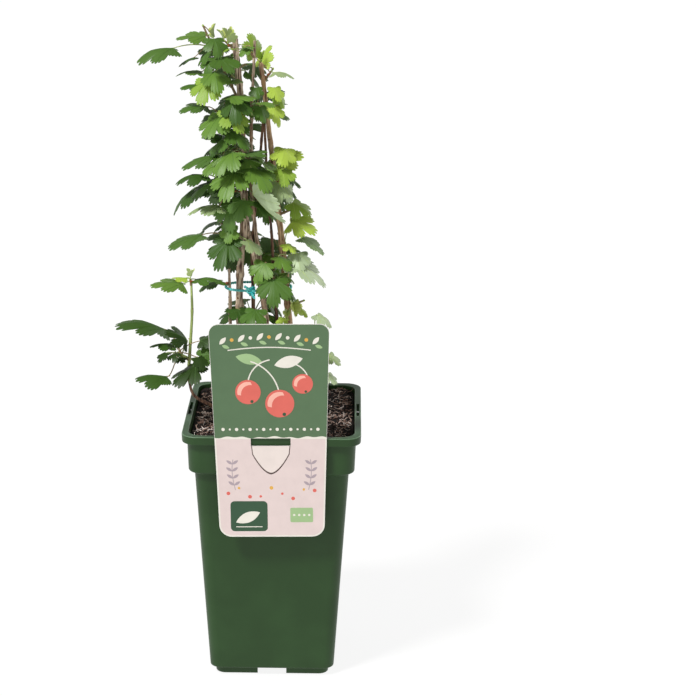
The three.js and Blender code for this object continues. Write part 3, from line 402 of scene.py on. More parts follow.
def make_pot():
    """The pot's shell goes round from under its floor, up outside, over the lip and down inside."""
    skirt_inside = LIP.width - 2 * WALL - LIP.draft
    under_plate = LIP.top - LIP.plate
    shoulder = COLLAR.z - COLLAR.chamfer
    inside = COLLAR.top - 2 * WALL
    recess = FOOT.width - 2 * FOOT.ring
    profile = [
        (HUB, FOOT.height, 0),
        (recess, FOOT.height, 0.6),
        (recess, 0, 0.5),
        (FOOT.width - 1, 0, 0.9),
        (FOOT.width, FOOT.height, 0.5),
        (BODY.bottom, FOOT.height, 1.6),
        (body_width(shoulder), shoulder, 0.7),
        (COLLAR.bottom, COLLAR.z, 1.4),
        (COLLAR.top, under_plate, 0.4),
        (skirt_inside, under_plate, 0.4),
        (skirt_inside, LIP.z, 0.3),
        (LIP.width - LIP.draft, LIP.z, 0.7),
        (LIP.width, LIP.top, 1.1),
        (inside, LIP.top, 0.8),
        (inside - 2, LEDGE_Z, 0.8),
        (body_width(LEDGE_Z) - 2 * WALL, LEDGE_Z, 1.0),
        (BODY.bottom - 2 * WALL, FLOOR_TOP, 1.2),
        (HUB, FLOOR_TOP, 0),
    ]
    rings = [square_ring(width, z) for width, z in eased(profile)]
    shell = np.concatenate(rings), ring_faces(len(rings), len(rings[0]))
    finishes = [pot_polypropylene("moulded_pot_green", "#233f1b", "#294721", 0.42)]
    pot = make_piece("square_pot", [shell], finishes, "pot_plastic", ["pot"], 30)
    joined = {"pot_pad_tool": post(FOOT.pad_radius, 0, FOOT.height + FOOT.pad_sunk, 0, 0, 48)}
    cuts = []
    rib_z = under_plate - RIB.high / 2 + RIB.sunk
    past_slot = RIM_SLOT.length / 2 + RIB.thick / 2 + RIB.clear
    foot_middle = (FOOT.width - FOOT.ring) / 2
    for side in SIDES:
        tall = 2 * FOOT.notch_height
        cuts.append(turned_block(side, 2 * FOOT.ring, FOOT.notch, tall, foot_middle, 0))
        slot = RIM_SLOT.width, RIM_SLOT.length, RIM_SLOT.tall
        cuts.append(turned_block(side, *slot, RIM_SLOT.middle, LIP.top))
        for shift in (-past_slot, -RIB.inner, RIB.inner, past_slot):
            rib = turned_block(side, RIB.width, RIB.thick, RIB.high, RIM_SLOT.middle, rib_z, shift)
            joined[f"pot_rib_tool_{len(joined) - 1}"] = rib
    for x, y in arc(0, 0, DRAIN.ring, 0, 360 * (1 - 1 / DRAIN.count), DRAIN.count):
        cuts.append(post(DRAIN.radius, FOOT.height - 1, FLOOR_TOP + 1, x, y, 24))
    for name, part in joined.items():
        carve(pot, make_piece(name, [part], finishes, "pot_plastic"), "UNION")
    carve(pot, make_piece("pot_cutting_tool", cuts, finishes, "pot_plastic"))
    paint_rim_highlights(pot.data)
    pot.modifiers.new("even_shading", "WEIGHTED_NORMAL").keep_sharp = True


def paint_rim_highlights(shell):
    """Paints highlights on the lip: a lighter green on its flat top and a paler one on its rounded edges,
    where they would catch the light.
    """
    flat = len(shell.materials)
    # Painted highlights: a lighter green for the lip's flat top, and a paler one for its rounded edges.
    shell.materials.append(pot_polypropylene("painted_highlight_rim_top_green", "#34502f", "#48634a", 0.36))
    shell.materials.append(pot_polypropylene("painted_highlight_rim_edge_green", "#5c775a", "#7a927a", 0.34))
    for face in shell.polygons:
        if face.center.z > (LIP.top - RIM_HIGHLIGHT.deep) * MM and face.normal.z > RIM_HIGHLIGHT.slope:
            face.material_index = flat if face.normal.z > RIM_HIGHLIGHT.level else flat + 1


def post(radius, low, high, x, y, sides):
    """An upright cylinder from low to high."""
    return tube([(x, y, low), (x, y, high)], radius, sides)


# ---- limbs ------------------------------------------------------------------------------------

SOIL_EDGE_Z = 219
SOIL_Z = 222
SOIL_FLAT = 104
GROUND = SOIL_Z + 0.3
FLARE = Sizes(share=0.06, swell=0.3)

# Every limb's radius at its foot and tip, and the few places that it runs through.
LIMBS = {
    "cane_left": (1.5, 1.1, [(-37, 2, GROUND), (-37.6, 1, 306), (-37.8, 0, 331), (-38.3, 0, 352)]),
    "cane_thick": (3.2, 2.4, [
        (-27, -4, GROUND), (-29.2, -4, 312), (-28.8, -4, 350), (-25.2, -3, 405), (-28.5, -2, 503),
        (-32.4, -2, 546.5),
    ]),
    "cane_middle": (2.1, 1.1, [
        (-8, 4, GROUND), (-9.9, 4, 343), (-14.1, 3, 371), (-18.6, 3, 409), (-19.4, 3, 470),
        (-16.4, 3, 544.5),
    ]),
    "cane_right": (3.2, 1.7, [
        (20, 5, GROUND), (11, 5, 321), (8, 5, 357), (0, 5, 423), (-4.2, 5, 465), (-11.5, 5, 526),
    ]),
    "cane_crossing": (2.4, 1.5, [
        (-2, -6, GROUND), (-7.2, -6, 310), (-15.5, -5, 359), (-22.6, 4, 385), (-25.5, 8, 425),
        (-26.5, 9, 458),
    ]),
    "cane_dark": (1.6, 1, [
        (-17, 4, GROUND), (-18.5, 6, 337), (-19, 9, 370), (-13, 11, 440), (-10, 11, 478),
    ]),
    "cane_slender": (1.5, 0.9, [
        (7, 11, GROUND), (1, 11, 314), (-3, 12, 380), (-7.6, 9.6, 448), (-9.5, 9.6, 510),
    ]),
    "low_branch": (1.5, 1.2, [
        (-36, -10, GROUND), (-40, -12, 226), (-54, -17, 236), (-68, -20, 246), (-72.5, -19, 262),
    ]),
    "left_shoot": (1.5, 1, [(-72, -18.6, 267), (-70.5, -18, 290), (-68.6, -18, 318), (-69, -18, 342)]),
    "right_branch": (1.3, 0.9, [(30, 0, GROUND), (33, -1, 250), (31, -4, 285)]),
}


class Limb:
    """A limb's curve, which passes through its places in even, rounded sweeps, and its taper."""

    def __init__(self, foot, tip, line):
        self.radii = foot, tip
        self.stops = [np.array(spot, float) for spot in line]
        self.grounded = line[0][2] == GROUND

    def spot(self, share):
        stops = self.stops
        run = (len(stops) - 1) * share
        index = min(int(math.floor(run)), len(stops) - 2)
        weight = run - index
        before = stops[index - 1] if index > 0 else 2 * stops[0] - stops[1]
        after = stops[index + 2] if index + 2 < len(stops) else 2 * stops[-1] - stops[-2]
        p = (before, stops[index], stops[index + 1], after)
        gaps = [np.sum((b - a) ** 2) ** 0.25 for a, b in zip(p, p[1:])]

        def slope(i):
            """The curve's slope where two of its gaps meet, for the whole of the middle gap."""
            first, second = gaps[i], gaps[i + 1]
            around = (p[i + 2] - p[i]) / (first + second)
            return ((p[i + 1] - p[i]) / first - around + (p[i + 2] - p[i + 1]) / second) * gaps[1]

        lead, trail = slope(0), slope(1)
        second = -3 * p[1] + 3 * p[2] - 2 * lead - trail
        third = 2 * p[1] - 2 * p[2] + lead + trail
        return p[1] + lead * weight + second * weight**2 + third * weight**3

    def radius(self, share):
        flare = FLARE.swell * max(0, 1 - share / FLARE.share) if self.grounded else 0
        return mix(*self.radii, share) * (1 + flare)

    def share_at(self, z):
        """The share of the way along at which the limb is z high."""
        low, high = 0.0, 1.0
        for _ in range(30):
            middle = (low + high) / 2
            if self.spot(middle)[2] < z:
                low = middle
            else:
                high = middle
        return low


limbs = {name: Limb(*limb) for name, limb in LIMBS.items()}

GAP = 0.3  # kept between neighbouring pieces
TIE_RADIUS = 0.9
TIES = {
    "tie_lower": Sizes(x=-13.6, y=2.4, z=336, wide=27.6, deep=12.6, sag=0.5, knot=-97, ends=(-150, -60)),
    "tie_upper": Sizes(x=-14, y=3.4, z=432, wide=17.6, deep=12, sag=1, knot=-80, ends=(-140, -165)),
}

# ---- growth: the same rule as the solids follow -----------------------------------------------

LEAF = Sizes(middle=0.45, lobe=0.58, sinus=0.41, shoulder=0.48)  # shares of its length
TWIG_FOOT = 1.4  # a twig's radius where it leaves its limb
RIM_POINTS = 12
STALK_STEP = 6  # the rim point where the stalk meets the blade
CLEARANCE = 0.045  # room round a leaf, as a share of its length
STALK_ROOM = 1.2
SHIFTS = (0, -3, 3, -6, 6, -9, 9, -12)
SEED = 20250
SEED_STEP = 7919
BLADE_GAP = 2
STALK_GAP = 0.9
# How the rule places a leaf of its own: its start along the twig, its stalk's turn, reach and rise,
# and its blade's turn, climb and tilt.
RULE = Sizes(tries=70, start=(0.4, 1), turn=(-75, 75), reach=6, rise=(-15, 55))
RULE_BLADE = Sizes(turn=(-35, 35), climb=(-60, 5), tilt=(-25, 25))

# The room that the rule's own leaves keep to: a cone about the canes, deeper towards the back.
CROWN = Sizes(low_z=300, high_z=545, x=(-14, -26), y=4, radius=(54, 38), back=1.2)

# Finer twigs, which only the dressed plant has: how many a mass tries for, how they fork from its
# twig, the share of the crown's width that they keep to, and their small leaves.
FINE = Sizes(
    twigs=6, tries=12, start=(0.1, 1), turn=(-130, 130), climb=(-20, 60), length=(6, 15), core=0.72
)
SMALL = Sizes(
    count=3, least=2, aside=80, sway=(-30, 30), stalk=(3, 8), rise=(0, 50), size=(8, 15), ease=0.55
)
SMALL_BLADE = Sizes(climb=(-50, 15), tilt=(-25, 25))

# What stays open among the finer leaves, seen from the front and a little above: gaps right
# through the crown, and places where the canes and the tie are bare. Each is an oval in X and Z:
# (x, z, half its width, half its height).
SIGHT_FALL = 0.31  # how far a line of sight falls for each millimetre that it runs back
GAPS_THROUGH = (
    (-12.7, 463, 6.5, 17), (-23, 521, 5, 10), (-22, 318, 6, 10), (-35, 315, 4, 12),
    (-55, 320, 16, 22), (15, 380, 8, 6), (-54, 492, 5, 5), (-46, 455, 5, 6), (-52, 504, 4, 5),
    (-1.5, 372, 3, 5), (-58, 413, 8, 4),
)
BARE_PLACES = (
    (-27, 390, 6, 30), (-16, 356, 9, 20), (7, 372, 6, 22), (-4, 478, 4, 26), (-28, 331, 20, 10),
    (-28, 312, 13, 13), (-3, 309, 7, 9),
)
FRONT_Y = 2  # what lies in front of this can hide a bare place


def heading(turn, climb):
    """A unit vector from a compass turn (0 is +X, 90 is +Y) and a climb, both in degrees."""
    turn, climb = math.radians(turn), math.radians(climb)
    return np.array([math.cos(turn) * math.cos(climb), math.sin(turn) * math.cos(climb), math.sin(climb)])


def dice(seed):
    """Repeatable random shares between 0 and 1."""
    state = seed
    while True:
        state = (state * 1664525 + 1013904223) % 2**32
        yield state / 2**32


def between(roll, low, high):
    return mix(low, high, next(roll))


def rim_reach(step):
    """The five-lobed outline as a reach from the blade's middle, from the tip round to the stalk."""
    from_tip = min(step, RIM_POINTS - step)
    if from_tip == STALK_STEP:
        return LEAF.middle
    if from_tip == STALK_STEP - 1:
        return LEAF.shoulder
    return LEAF.sinus if from_tip % 2 else LEAF.lobe


def rim_place(step, share):
    """A place on the rule's outline, as shares of the leaf's length forward and to its left."""
    angle = step * 2 * math.pi / RIM_POINTS
    low = math.floor(step)
    reach = mix(rim_reach(low % RIM_POINTS), rim_reach((low + 1) % RIM_POINTS), step - low) * share
    return LEAF.middle + reach * math.cos(angle), reach * math.sin(angle)


TEST_PLACES = [(LEAF.middle, 0.0)]
for step in range(RIM_POINTS):
    TEST_PLACES += [rim_place(step, share) for share in (0.25, 0.5, 0.75, 1)]
    TEST_PLACES += [rim_place(step + 0.5, share) for share in (0.6, 1)]
TEST_FORWARD, TEST_ASIDE = np.array(TEST_PLACES).T


class Leaf:
    """A blade and its stalk. The blade's halves droop from the midrib, which arches."""

    def __init__(self, start, base, turn, climb, size, roll, looks):
        self.start, self.base, self.size = start, base, size
        self.fold = math.radians(mix(8, 36, looks[0]))
        self.curl = mix(0.1, 0.45, looks[1])
        self.along = heading(turn, climb)
        level = np.array([-math.sin(math.radians(turn)), math.cos(math.radians(turn)), 0])
        up = np.cross(self.along, level)
        self.left = level * math.cos(math.radians(roll)) + up * math.sin(math.radians(roll))
        self.up = np.cross(self.along, self.left)

    def on_blade(self, forward, aside, lift=0.0, fold=None):
        """Places at a share of the length forward and a share to the left, lifted by a share."""
        fold = self.fold if fold is None else fold
        drop = np.abs(aside) * math.sin(fold) - self.curl * forward * (1 - forward) - lift
        runs = (forward, aside * math.cos(fold), -drop)
        ways = (self.along, self.left, self.up)
        return self.base + sum(np.multiply.outer(run * self.size, way) for run, way in zip(runs, ways))

    def stalk(self, shares):
        """The stalk arches from the twig to the blade's foot."""
        span = np.linalg.norm(self.start - self.base)
        rise = mix(self.start, self.base, 0.4) + (0, 0, 0.16 * span)
        lead = self.base - 0.2 * span * self.along
        t = np.asarray(shares)[:, None]
        ends = (1 - t) ** 3 * self.start + t**3 * self.base
        return ends + 3 * (1 - t) ** 2 * t * rise + 3 * (1 - t) * t**2 * lead

    def test_points(self):
        """Points that stand for the leaf, the room round each, and which are the blade's."""
        blade = self.on_blade(TEST_FORWARD, TEST_ASIDE)
        count = math.ceil(np.linalg.norm(self.start - self.base) / 3)
        stalk = self.stalk(np.arange(1, count) / max(count, 1))
        room = np.concatenate([np.full(len(blade), CLEARANCE * self.size), np.full(len(stalk), STALK_ROOM)])
        return np.concatenate([blade, stalk]), room, np.arange(len(room)) < len(blade)


def obstacle_pieces():
    """Short straight pieces of every limb and tie, with the room that each needs."""
    starts, ends, rooms = [], [], []
    for limb in limbs.values():
        spots = [limb.spot(piece / 16) for piece in range(17)]
        starts += spots[:-1]
        ends += spots[1:]
        rooms += [limb.radius((piece + 0.5) / 16) for piece in range(16)]
    for tie in TIES.values():
        spots = [loop_spot(tie, piece * 2 * math.pi / 20) for piece in range(21)]
        starts += spots[:-1]
        ends += spots[1:]
        rooms += [TIE_RADIUS + 0.6] * 20
    return np.array(starts), np.array(ends), np.array(rooms)


class Growth:
    """Every leaf so far, and the test of what a new one would touch."""

    def __init__(self):
        self.starts, ends, self.rooms = obstacle_pieces()
        self.runs = ends - self.starts
        self.spans = np.sum(self.runs**2, axis=1)
        self.taken = []

    def take(self, points, mass):
        spots = points[0]
        self.taken.append((spots.min(axis=0) - 4, spots.max(axis=0) + 4, points, mass))

    def touches(self, points, mass, ease=1.0):
        spots, room, blade = points
        offset = spots[:, None] - self.starts
        share = np.clip(np.sum(offset * self.runs, axis=2) / self.spans, 0, 1)
        apart = np.linalg.norm(offset - share[..., None] * self.runs, axis=2)
        gap = np.where(blade, BLADE_GAP, STALK_GAP)[:, None] * ease
        if np.any(apart < self.rooms + gap):
            return True
        low, high = spots.min(axis=0), spots.max(axis=0)
        for other_low, other_high, (others, other_room, other_blade), other_mass in self.taken:
            if np.any(low > other_high) or np.any(high < other_low):
                continue
            reach = (0.6 if other_mass is mass else 1) * ease
            close = np.linalg.norm(spots[:, None] - others, axis=2) < reach * (room[:, None] + other_room)
            if other_mass is mass:
                close &= blade[:, None] & other_blade
            if np.any(close):
                return True
        return False


@dataclass
class Mass:
    """A twig with its leaves. A mass apart stands outside the crown."""

    limb: str
    z: float  # where the twig leaves its limb, or None for the limb's tip
    turn: float
    climb: float
    length: float
    space: float  # how far its leaves reach
    slot: str
    more: int  # how many leaves the rule adds
    sizes: tuple
    tints: str  # the greens of its leading leaves, and those dealt to the others
    deal: str
    blades: list  # its leading leaves: x, y, z of the stalk's end, turn, climb, length, roll
    fine: int = FINE.twigs
    apart: bool = False

    def sprout(self, number):
        """Sets the twig on its limb, clear of the limb's side or tip."""
        limb = limbs[self.limb]
        share = limb.share_at(self.z) if self.z else 1.0
        way = heading(self.turn, self.climb)
        climb = math.radians(self.climb)
        clear = GAP + TWIG_FOOT
        if self.z:
            clear = (limb.radius(share) + GAP + 0.1 + TWIG_FOOT * math.sin(climb)) / math.cos(climb)
        self.joint = limb.spot(share)
        start = self.joint + way * clear
        self.twig = start, start + way * self.length
        self.dice = dice(SEED + SEED_STEP * number)
        self.fine_dice = dice(SEED + SEED_STEP * (number + len(MASSES)))
        self.leaves, self.small_leaves, self.fine_twigs = [], [], []


BACK = ("", "dggmm", [])  # most masses at the back have no leading leaves
MASSES = {
    "leaves_top_left": Mass(
        "cane_thick", 492, 183, 65, 62, 60, "leaf_bright", 5, (14, 22), "gbmmgdggmy", "gmmb",
        [(-58, -4, 509, -165, -5, 20), (-54, -12, 514, -110, -50, 24), (-61, 5, 518, -170, -5, 20),
         (-49, -13, 521, -75, -35, 23), (-83, 0, 538, -170, -17, 31, -5), (-66, -3, 531, 170, -25, 14),
         (-44, -13, 533, -60, -25, 24), (-49, -7, 547, -70, -45, 19), (-57, 4, 547, -170, 0, 23, -15),
         (-49, 1, 548, 20, 85, 10)],
        fine=4,
    ),
    "leaves_thick_tip": Mass(
        "cane_thick", 536, 165, 40, 8, 22, "leaf_young", 0, (8, 11), "yyly", "yyl",
        [(-39, 1, 547, -130, 65, 10), (-36, 4, 548, 95, 70, 8), (-35, -8, 545, -60, 60, 9),
         (-43, 3, 545, 160, 55, 9)],
        fine=0,
    ),
    "leaves_middle_tip": Mass(
        "cane_middle", 531, -150, 50, 8, 26, "leaf_bright", 1, (9, 12), "m", "bm",
        [(-20, -3, 541, -140, -35, 13)],
        fine=1,
    ),
    "leaves_right_tip": Mass(
        "cane_right", 510, 40, 45, 10, 50, "leaf_bright", 0, (12, 16), "bpl", "bml",
        [(-16, 10, 530, 140, 70, 21), (-1, 0, 519, -10, -5, 17), (-12, 14, 523, 40, 60, 19)],
        fine=3,
    ),
    "leaves_right_hanging": Mass(
        "cane_right", 490, -10, 20, 10, 45, "leaf_bright", 0, (12, 18), "lbll", "lbm",
        [(0, -4, 507, -60, -50, 14), (2, 2, 501, -40, -55, 14), (0, -3, 491, -70, -60, 15),
         (-1, 7, 486, -20, -65, 14)],
        fine=3,
    ),
    "leaves_between_canes": Mass(
        "cane_middle", 486, -60, 30, 8, 45, "leaf_dark", 2, (14, 20), "gml", "dgm",
        [(-15, -5, 507, -80, -50, 12), (-14, -7, 490, -80, -45, 14), (-20, -9, 487, -110, 20, 10)],
    ),
    "leaves_upper_left": Mass(
        "cane_thick", 470, 180, 30, 14, 55, "leaf_dark", 4, (16, 24), "gm", "dgm",
        [(-56, 0, 490, -165, -5, 24, -8), (-44, -17, 486, -120, -35, 26)],
    ),
    "leaves_upper_front": Mass(
        "cane_thick", 482, -80, 30, 8, 50, "leaf_green", 4, (18, 26), "mbg", "dgm",
        [(-36, -14, 502, -25, 0, 24), (-35, -17, 491, -60, -40, 24), (-37, -18, 474, -35, -30, 24)],
    ),
    "leaves_middle_left": Mass(
        "cane_thick", 445, 190, 25, 14, 60, "leaf_dark", 3, (18, 26), "dgm", "sdg",
        [(-43, -3, 463, -155, -50, 18), (-48, -5, 450, -170, -15, 31), (-43, -17, 449, -135, -30, 23)],
    ),
    "leaves_middle_front": Mass(
        "cane_middle", 440, -90, 30, 16, 55, "leaf_dark", 3, (20, 28), "mgmm", "gmm",
        [(-33, -24, 458, -130, -35, 26), (-26, -25, 455, -30, 5, 25), (-31, -27, 441, -110, -40, 30),
         (-18, -25, 444, -50, -30, 28)],
    ),
    "leaves_lower_left": Mass(
        "cane_thick", 418, 195, 15, 12, 65, "leaf_dark", 2, (20, 28), "dsdp", "sdg",
        [(-57, -7, 434, -170, -10, 25), (-46, -13, 430, -140, -20, 28), (-62, 2, 422, -170, -40, 32),
         (-46, -11, 409, -160, -10, 27)],
    ),
    "leaves_right_middle": Mass(
        "cane_right", 447, -20, 20, 10, 50, "leaf_bright", 2, (18, 26), "lb", "bbl",
        [(2, -6, 446, 12, 18, 23, 35), (7, -13, 441, -80, -35, 19)],
    ),
    "leaves_right_pale": Mass(
        "cane_right", 420, -60, 20, 14, 55, "leaf_silver", 1, (20, 26), "vv", "vpg",
        [(-17, -23, 422, -10, -40, 38, 150), (5, -4, 426, -15, -55, 17, 40)],
    ),
    "leaves_right_lower": Mass(
        "cane_right", 398, -10, 25, 16, 55, "leaf_bright", 2, (18, 26), "blml", "blm",
        [(15, 4, 409, -25, -30, 21, 20), (14, -4, 394, -15, -15, 24, 32), (23, -2, 380, -10, -32, 24),
         (10, -8, 376, -50, -25, 13)],
    ),
    "leaves_centre_dark": Mass(
        "cane_thick", 410, -70, 0, 10, 45, "leaf_dark", 2, (18, 24), "gm", "dgm",
        [(-34, -11, 411, -110, -62, 25), (-37, -12, 391, -100, -60, 15)],
    ),
    "leaves_lone_left": Mass(
        "cane_thick", 378, 185, 20, 12, 62, "leaf_dark", 1, (18, 26), "gdp", "dg",
        [(-61, -4, 382, -170, -20, 29, -4), (-38, -16, 380, -115, -48, 28), (-22, -14, 380, -30, -35, 18)],
    ),
    "leaves_right_silver": Mass(
        "cane_right", 356, -10, 25, 12, 60, "leaf_silver", 2, (16, 24), "vmm", "vpm",
        [(17, -7, 359, -10, -30, 34, 5), (4, -10, 366, -45, -30, 17), (21, 6, 357, 0, -5, 13)],
    ),
    "leaves_front_low": Mass(
        "cane_middle", 344, -60, 15, 18, 55, "leaf_green", 1, (18, 22), "gg", "gm",
        [(0, -26, 350, -85, -55, 27), (1, -25, 346, -25, -35, 25)],
    ),
    "leaves_young_right": Mass(
        "cane_right", 318, -20, 25, 12, 34, "leaf_young", 0, (8, 13), "ylyl", "yl",
        [(16, -8, 325, -70, -50, 14), (20, -5, 320, -20, -35, 12), (12, -9, 318, -100, -40, 10),
         (8, -9, 312, -110, -30, 11)],
        fine=2,
    ),
    "leaves_left_foot": Mass(
        "cane_left", 338, 200, 20, 6, 36, "leaf_dark", 0, (12, 18), "g", "dg",
        [(-45, -5, 343, -165, -15, 20)],
        fine=2,
    ),
    "leaves_behind_label": Mass(
        "cane_crossing", 298, -110, 25, 10, 50, "leaf_dark", 2, (16, 22), "gd", "dg",
        [(-15, -21, 322, -110, -40, 22), (-32, -18, 320, -60, -35, 18)],
        fine=3,
    ),
    "leaves_right_branch": Mass(
        "right_branch", None, -40, 60, 10, 60, "leaf_bright", 1, (14, 20), "vpv", "pv",
        [(37, -10, 315, -25, -38, 17), (47, -8, 280, -35, -35, 15), (46, -12, 264, -50, -30, 13)],
        fine=1, apart=True,
    ),
    "leaves_shoot_tip": Mass(
        "left_shoot", None, 170, 80, 4, 50, "leaf_young", 0, (8, 12), "mlgy", "lm",
        [(-76, -18, 343, -170, 4, 28, -6), (-73, -14, 346, 170, 0, 14), (-65, -17, 347, -10, 2, 19),
         (-69, -20, 350, -60, 50, 10)],
        fine=0, apart=True,
    ),
    "leaves_low_left": Mass(
        "left_shoot", 276, 200, 40, 9, 62, "leaf_dark", 0, (14, 20), "dsdsdgs", "sd",
        [(-93, -10, 301, -170, 12, 39), (-73, -24, 296, -150, 32, 23, -35), (-85, -17, 289, -175, 0, 20),
         (-65, -30, 275, -135, -25, 28), (-90, -24, 263, -170, 0, 28, -3), (-60, -25, 281, 20, 35, 19, 45),
         (-62, -20, 294, -10, 15, 18, 20)],
        fine=2, apart=True,
    ),
    "leaves_back_top": Mass("cane_thick", 506, 100, 35, 16, 42, "leaf_green", 5, (18, 26), *BACK),
    "leaves_back_upper": Mass("cane_middle", 476, 85, 30, 14, 50, "leaf_green", 6, (20, 30), *BACK),
    "leaves_back_left": Mass("cane_crossing", 446, 135, 20, 14, 52, "leaf_green", 6, (22, 32), *BACK),
    "leaves_back_right": Mass("cane_right", 422, 75, 20, 14, 50, "leaf_green", 6, (22, 32), *BACK),
    "leaves_back_middle": Mass(
        "cane_dark", 400, 100, 20, 15, 52, "leaf_green", 7, (22, 32), "g", "dggmm",
        [(-9, 20, 404, -70, -65, 20)],
    ),
    "leaves_back_low_left": Mass(
        "cane_thick", 366, 115, 20, 15, 52, "leaf_green", 6, (22, 32), "dg", "dggmm",
        [(-36, 14, 364, -100, -70, 20), (-23, 19, 372, -90, -75, 22)],
    ),
    "leaves_back_low_right": Mass("cane_slender", 352, 60, 20, 14, 52, "leaf_green", 6, (20, 30), *BACK),
    "leaves_back_foot": Mass("cane_dark", 300, 100, 25, 14, 48, "leaf_green", 5, (18, 26), *BACK),
}


def grow_leading(mass, growth):
    """A leading leaf that would touch something moves a little forward or back until it is clear."""
    for number, (x, y, z, turn, climb, size, *roll) in enumerate(mass.blades):
        start = mix(*mass.twig, mix(0.35, 1, (number + 1) / len(mass.blades)))
        looks = (next(mass.dice), next(mass.dice))
        for shift in SHIFTS:
            base = np.array([x, y + shift, z], float)
            leaf = Leaf(start, base, turn, climb, size, roll[0] if roll else 0, looks)
            points = leaf.test_points()
            if not growth.touches(points, mass):
                growth.take(points, mass)
                mass.leaves.append(leaf)
                break


def crown_at(z):
    """The middle and the radius of the crown at one height or more."""
    share = (z - CROWN.low_z) / (CROWN.high_z - CROWN.low_z)
    return mix(*CROWN.x, share), mix(*CROWN.radius, share)


def inside(points, mass, core=1.0):
    """Whether a leaf keeps to its mass's space, and to the crown where the mass is part of it."""
    spots = points[0]
    if np.any(np.linalg.norm(spots - mix(*mass.twig, 0.5), axis=1) >= mass.space):
        return False
    middle, radius = crown_at(spots[:, 2])
    deep = spots[:, 1] - CROWN.y
    deep = np.where(deep > 0, deep / CROWN.back, deep)
    return mass.apart or np.all(np.hypot(spots[:, 0] - middle, deep) < core * radius)


def grow_more(mass, growth):
    roll = mass.dice
    for _ in range(mass.more):
        for _ in range(RULE.tries):
            start = mix(*mass.twig, between(roll, *RULE.start))
            turn = mass.turn + between(roll, *RULE.turn)
            reach = between(roll, RULE.reach, 0.5 * mass.space)
            base = start + reach * heading(turn, between(roll, *RULE.rise))
            blade_turn, climb = turn + between(roll, *RULE_BLADE.turn), between(roll, *RULE_BLADE.climb)
            size, tilt = between(roll, *mass.sizes), between(roll, *RULE_BLADE.tilt)
            leaf = Leaf(start, base, blade_turn, climb, size, tilt, (next(roll), next(roll)))
            points = leaf.test_points()
            if inside(points, mass) and not growth.touches(points, mass):
                growth.take(points, mass)
                mass.leaves.append(leaf)
                break


def fills_an_opening(points):
    spots = points[0]

    def covers(spots, x, z, half_wide, half_high):
        seen_z = spots[:, 2] + SIGHT_FALL * (spots[:, 1] - CROWN.y)
        return np.any(((spots[:, 0] - x) / half_wide) ** 2 + ((seen_z - z) / half_high) ** 2 < 1)

    front = spots[spots[:, 1] < FRONT_Y]
    through = any(covers(spots, *oval) for oval in GAPS_THROUGH)
    return through or any(covers(front, *oval) for oval in BARE_PLACES)


def grow_fine(mass, growth):
    """Finer twigs fork from the mass's twig, each with a few small leaves that fill the gaps."""
    roll = mass.fine_dice
    for _ in range(mass.fine):
        for _ in range(FINE.tries):
            foot = mix(*mass.twig, between(roll, *FINE.start))
            turn = mass.turn + between(roll, *FINE.turn)
            way = heading(turn, between(roll, *FINE.climb))
            tip = foot + between(roll, *FINE.length) * way
            spray = []
            for number in range(SMALL.count):
                start = mix(foot, tip, (number + 1) / SMALL.count)
                aside = 0 if number == SMALL.count - 1 else SMALL.aside if number % 2 else -SMALL.aside
                stalk_turn = turn + aside + between(roll, *SMALL.sway)
                base = start + between(roll, *SMALL.stalk) * heading(stalk_turn, between(roll, *SMALL.rise))
                looks = (next(roll), next(roll))
                size, climb = between(roll, *SMALL.size), between(roll, *SMALL_BLADE.climb)
                leaf = Leaf(start, base, stalk_turn, climb, size, between(roll, *SMALL_BLADE.tilt), looks)
                points = leaf.test_points()
                kept = inside(points, mass, FINE.core) and not fills_an_opening(points)
                if kept and not growth.touches(points, mass, SMALL.ease):
                    spray.append((leaf, points))
            if len(spray) >= SMALL.least:
                for leaf, points in spray:
                    growth.take(points, mass)
                    mass.small_leaves.append(leaf)
                mass.fine_twigs.append((foot, tip))
                break


def grow():
    """Grows every mass: all twigs first, then leading leaves, then the rule's, then the fine ones."""
    growth = Growth()
    for number, mass in enumerate(MASSES.values()):
        mass.sprout(number)
        steps = math.ceil(mass.length / 3)
        spots = mix(*mass.twig, np.arange(1, steps + 1)[:, None] / steps)
        growth.take((spots, np.full(steps, TWIG_FOOT + 0.4), np.zeros(steps, bool)), mass)
    for stage in (grow_leading, grow_more, grow_fine):
        for mass in MASSES.values():
            stage(mass, growth)


# ---- leaves, stalks and twigs as meshes ---------------------------------------------------------

LOBE_STEP = 44  # degrees between the main veins, which fan out from the stalk
LOBES = (0.54, 0.84, 1.0, 0.84, 0.54)  # their lengths, from the right of the blade to the left
SINUSES = (0.26, 0.42, 0.55, 0.55, 0.42, 0.26)  # how far the blade reaches between them
# A large leaf, and then a small one: the rounded teeth on a lobe, how far the blade reaches
# between two of them, and the points round a tooth.
TOOTHING = {True: (5, 0.89, 4), False: (3, 0.85, 3)}
GRID_ROWS = {True: (0.3, 0.55, 0.78, 0.93, 1.0), False: (0.45, 0.8, 1.0)}
# The blade's thickness and width, how much of the rule's droop it keeps full grown, how far it is
# folded up when young, and how round its lobes and teeth are.
BLADE = Sizes(
    thick=0.34, small_thick=0.8, wide=0.88, open=0.5, young_fold=52, lobe_round=3.4, tooth_round=0.6
)
# How one blade differs from the next, and how it swells between its veins, waves at its rim and
# turns down at its lobes' tips.
VARIED = Sizes(lobes=0.14, sinuses=(0.76, 1.16), skew=3, droop=(0.02, 0.13))
RELIEF = Sizes(vein_width=5.5, swell=0.010, wave=0.045, waves=700, crease=0.04)
VEIN = Sizes(foot=0.22, tip=0.12, full_size=26)
STALK = Sizes(radius=0.6, least=0.62, full_size=30, taper=0.75)
TWIG_RADII = Sizes(main=(1.25, 0.75), fine=(0.7, 0.45))
BUD_RADII = np.array([0.45, 0.85, 1.0, 0.8, 0.45, 0.08])


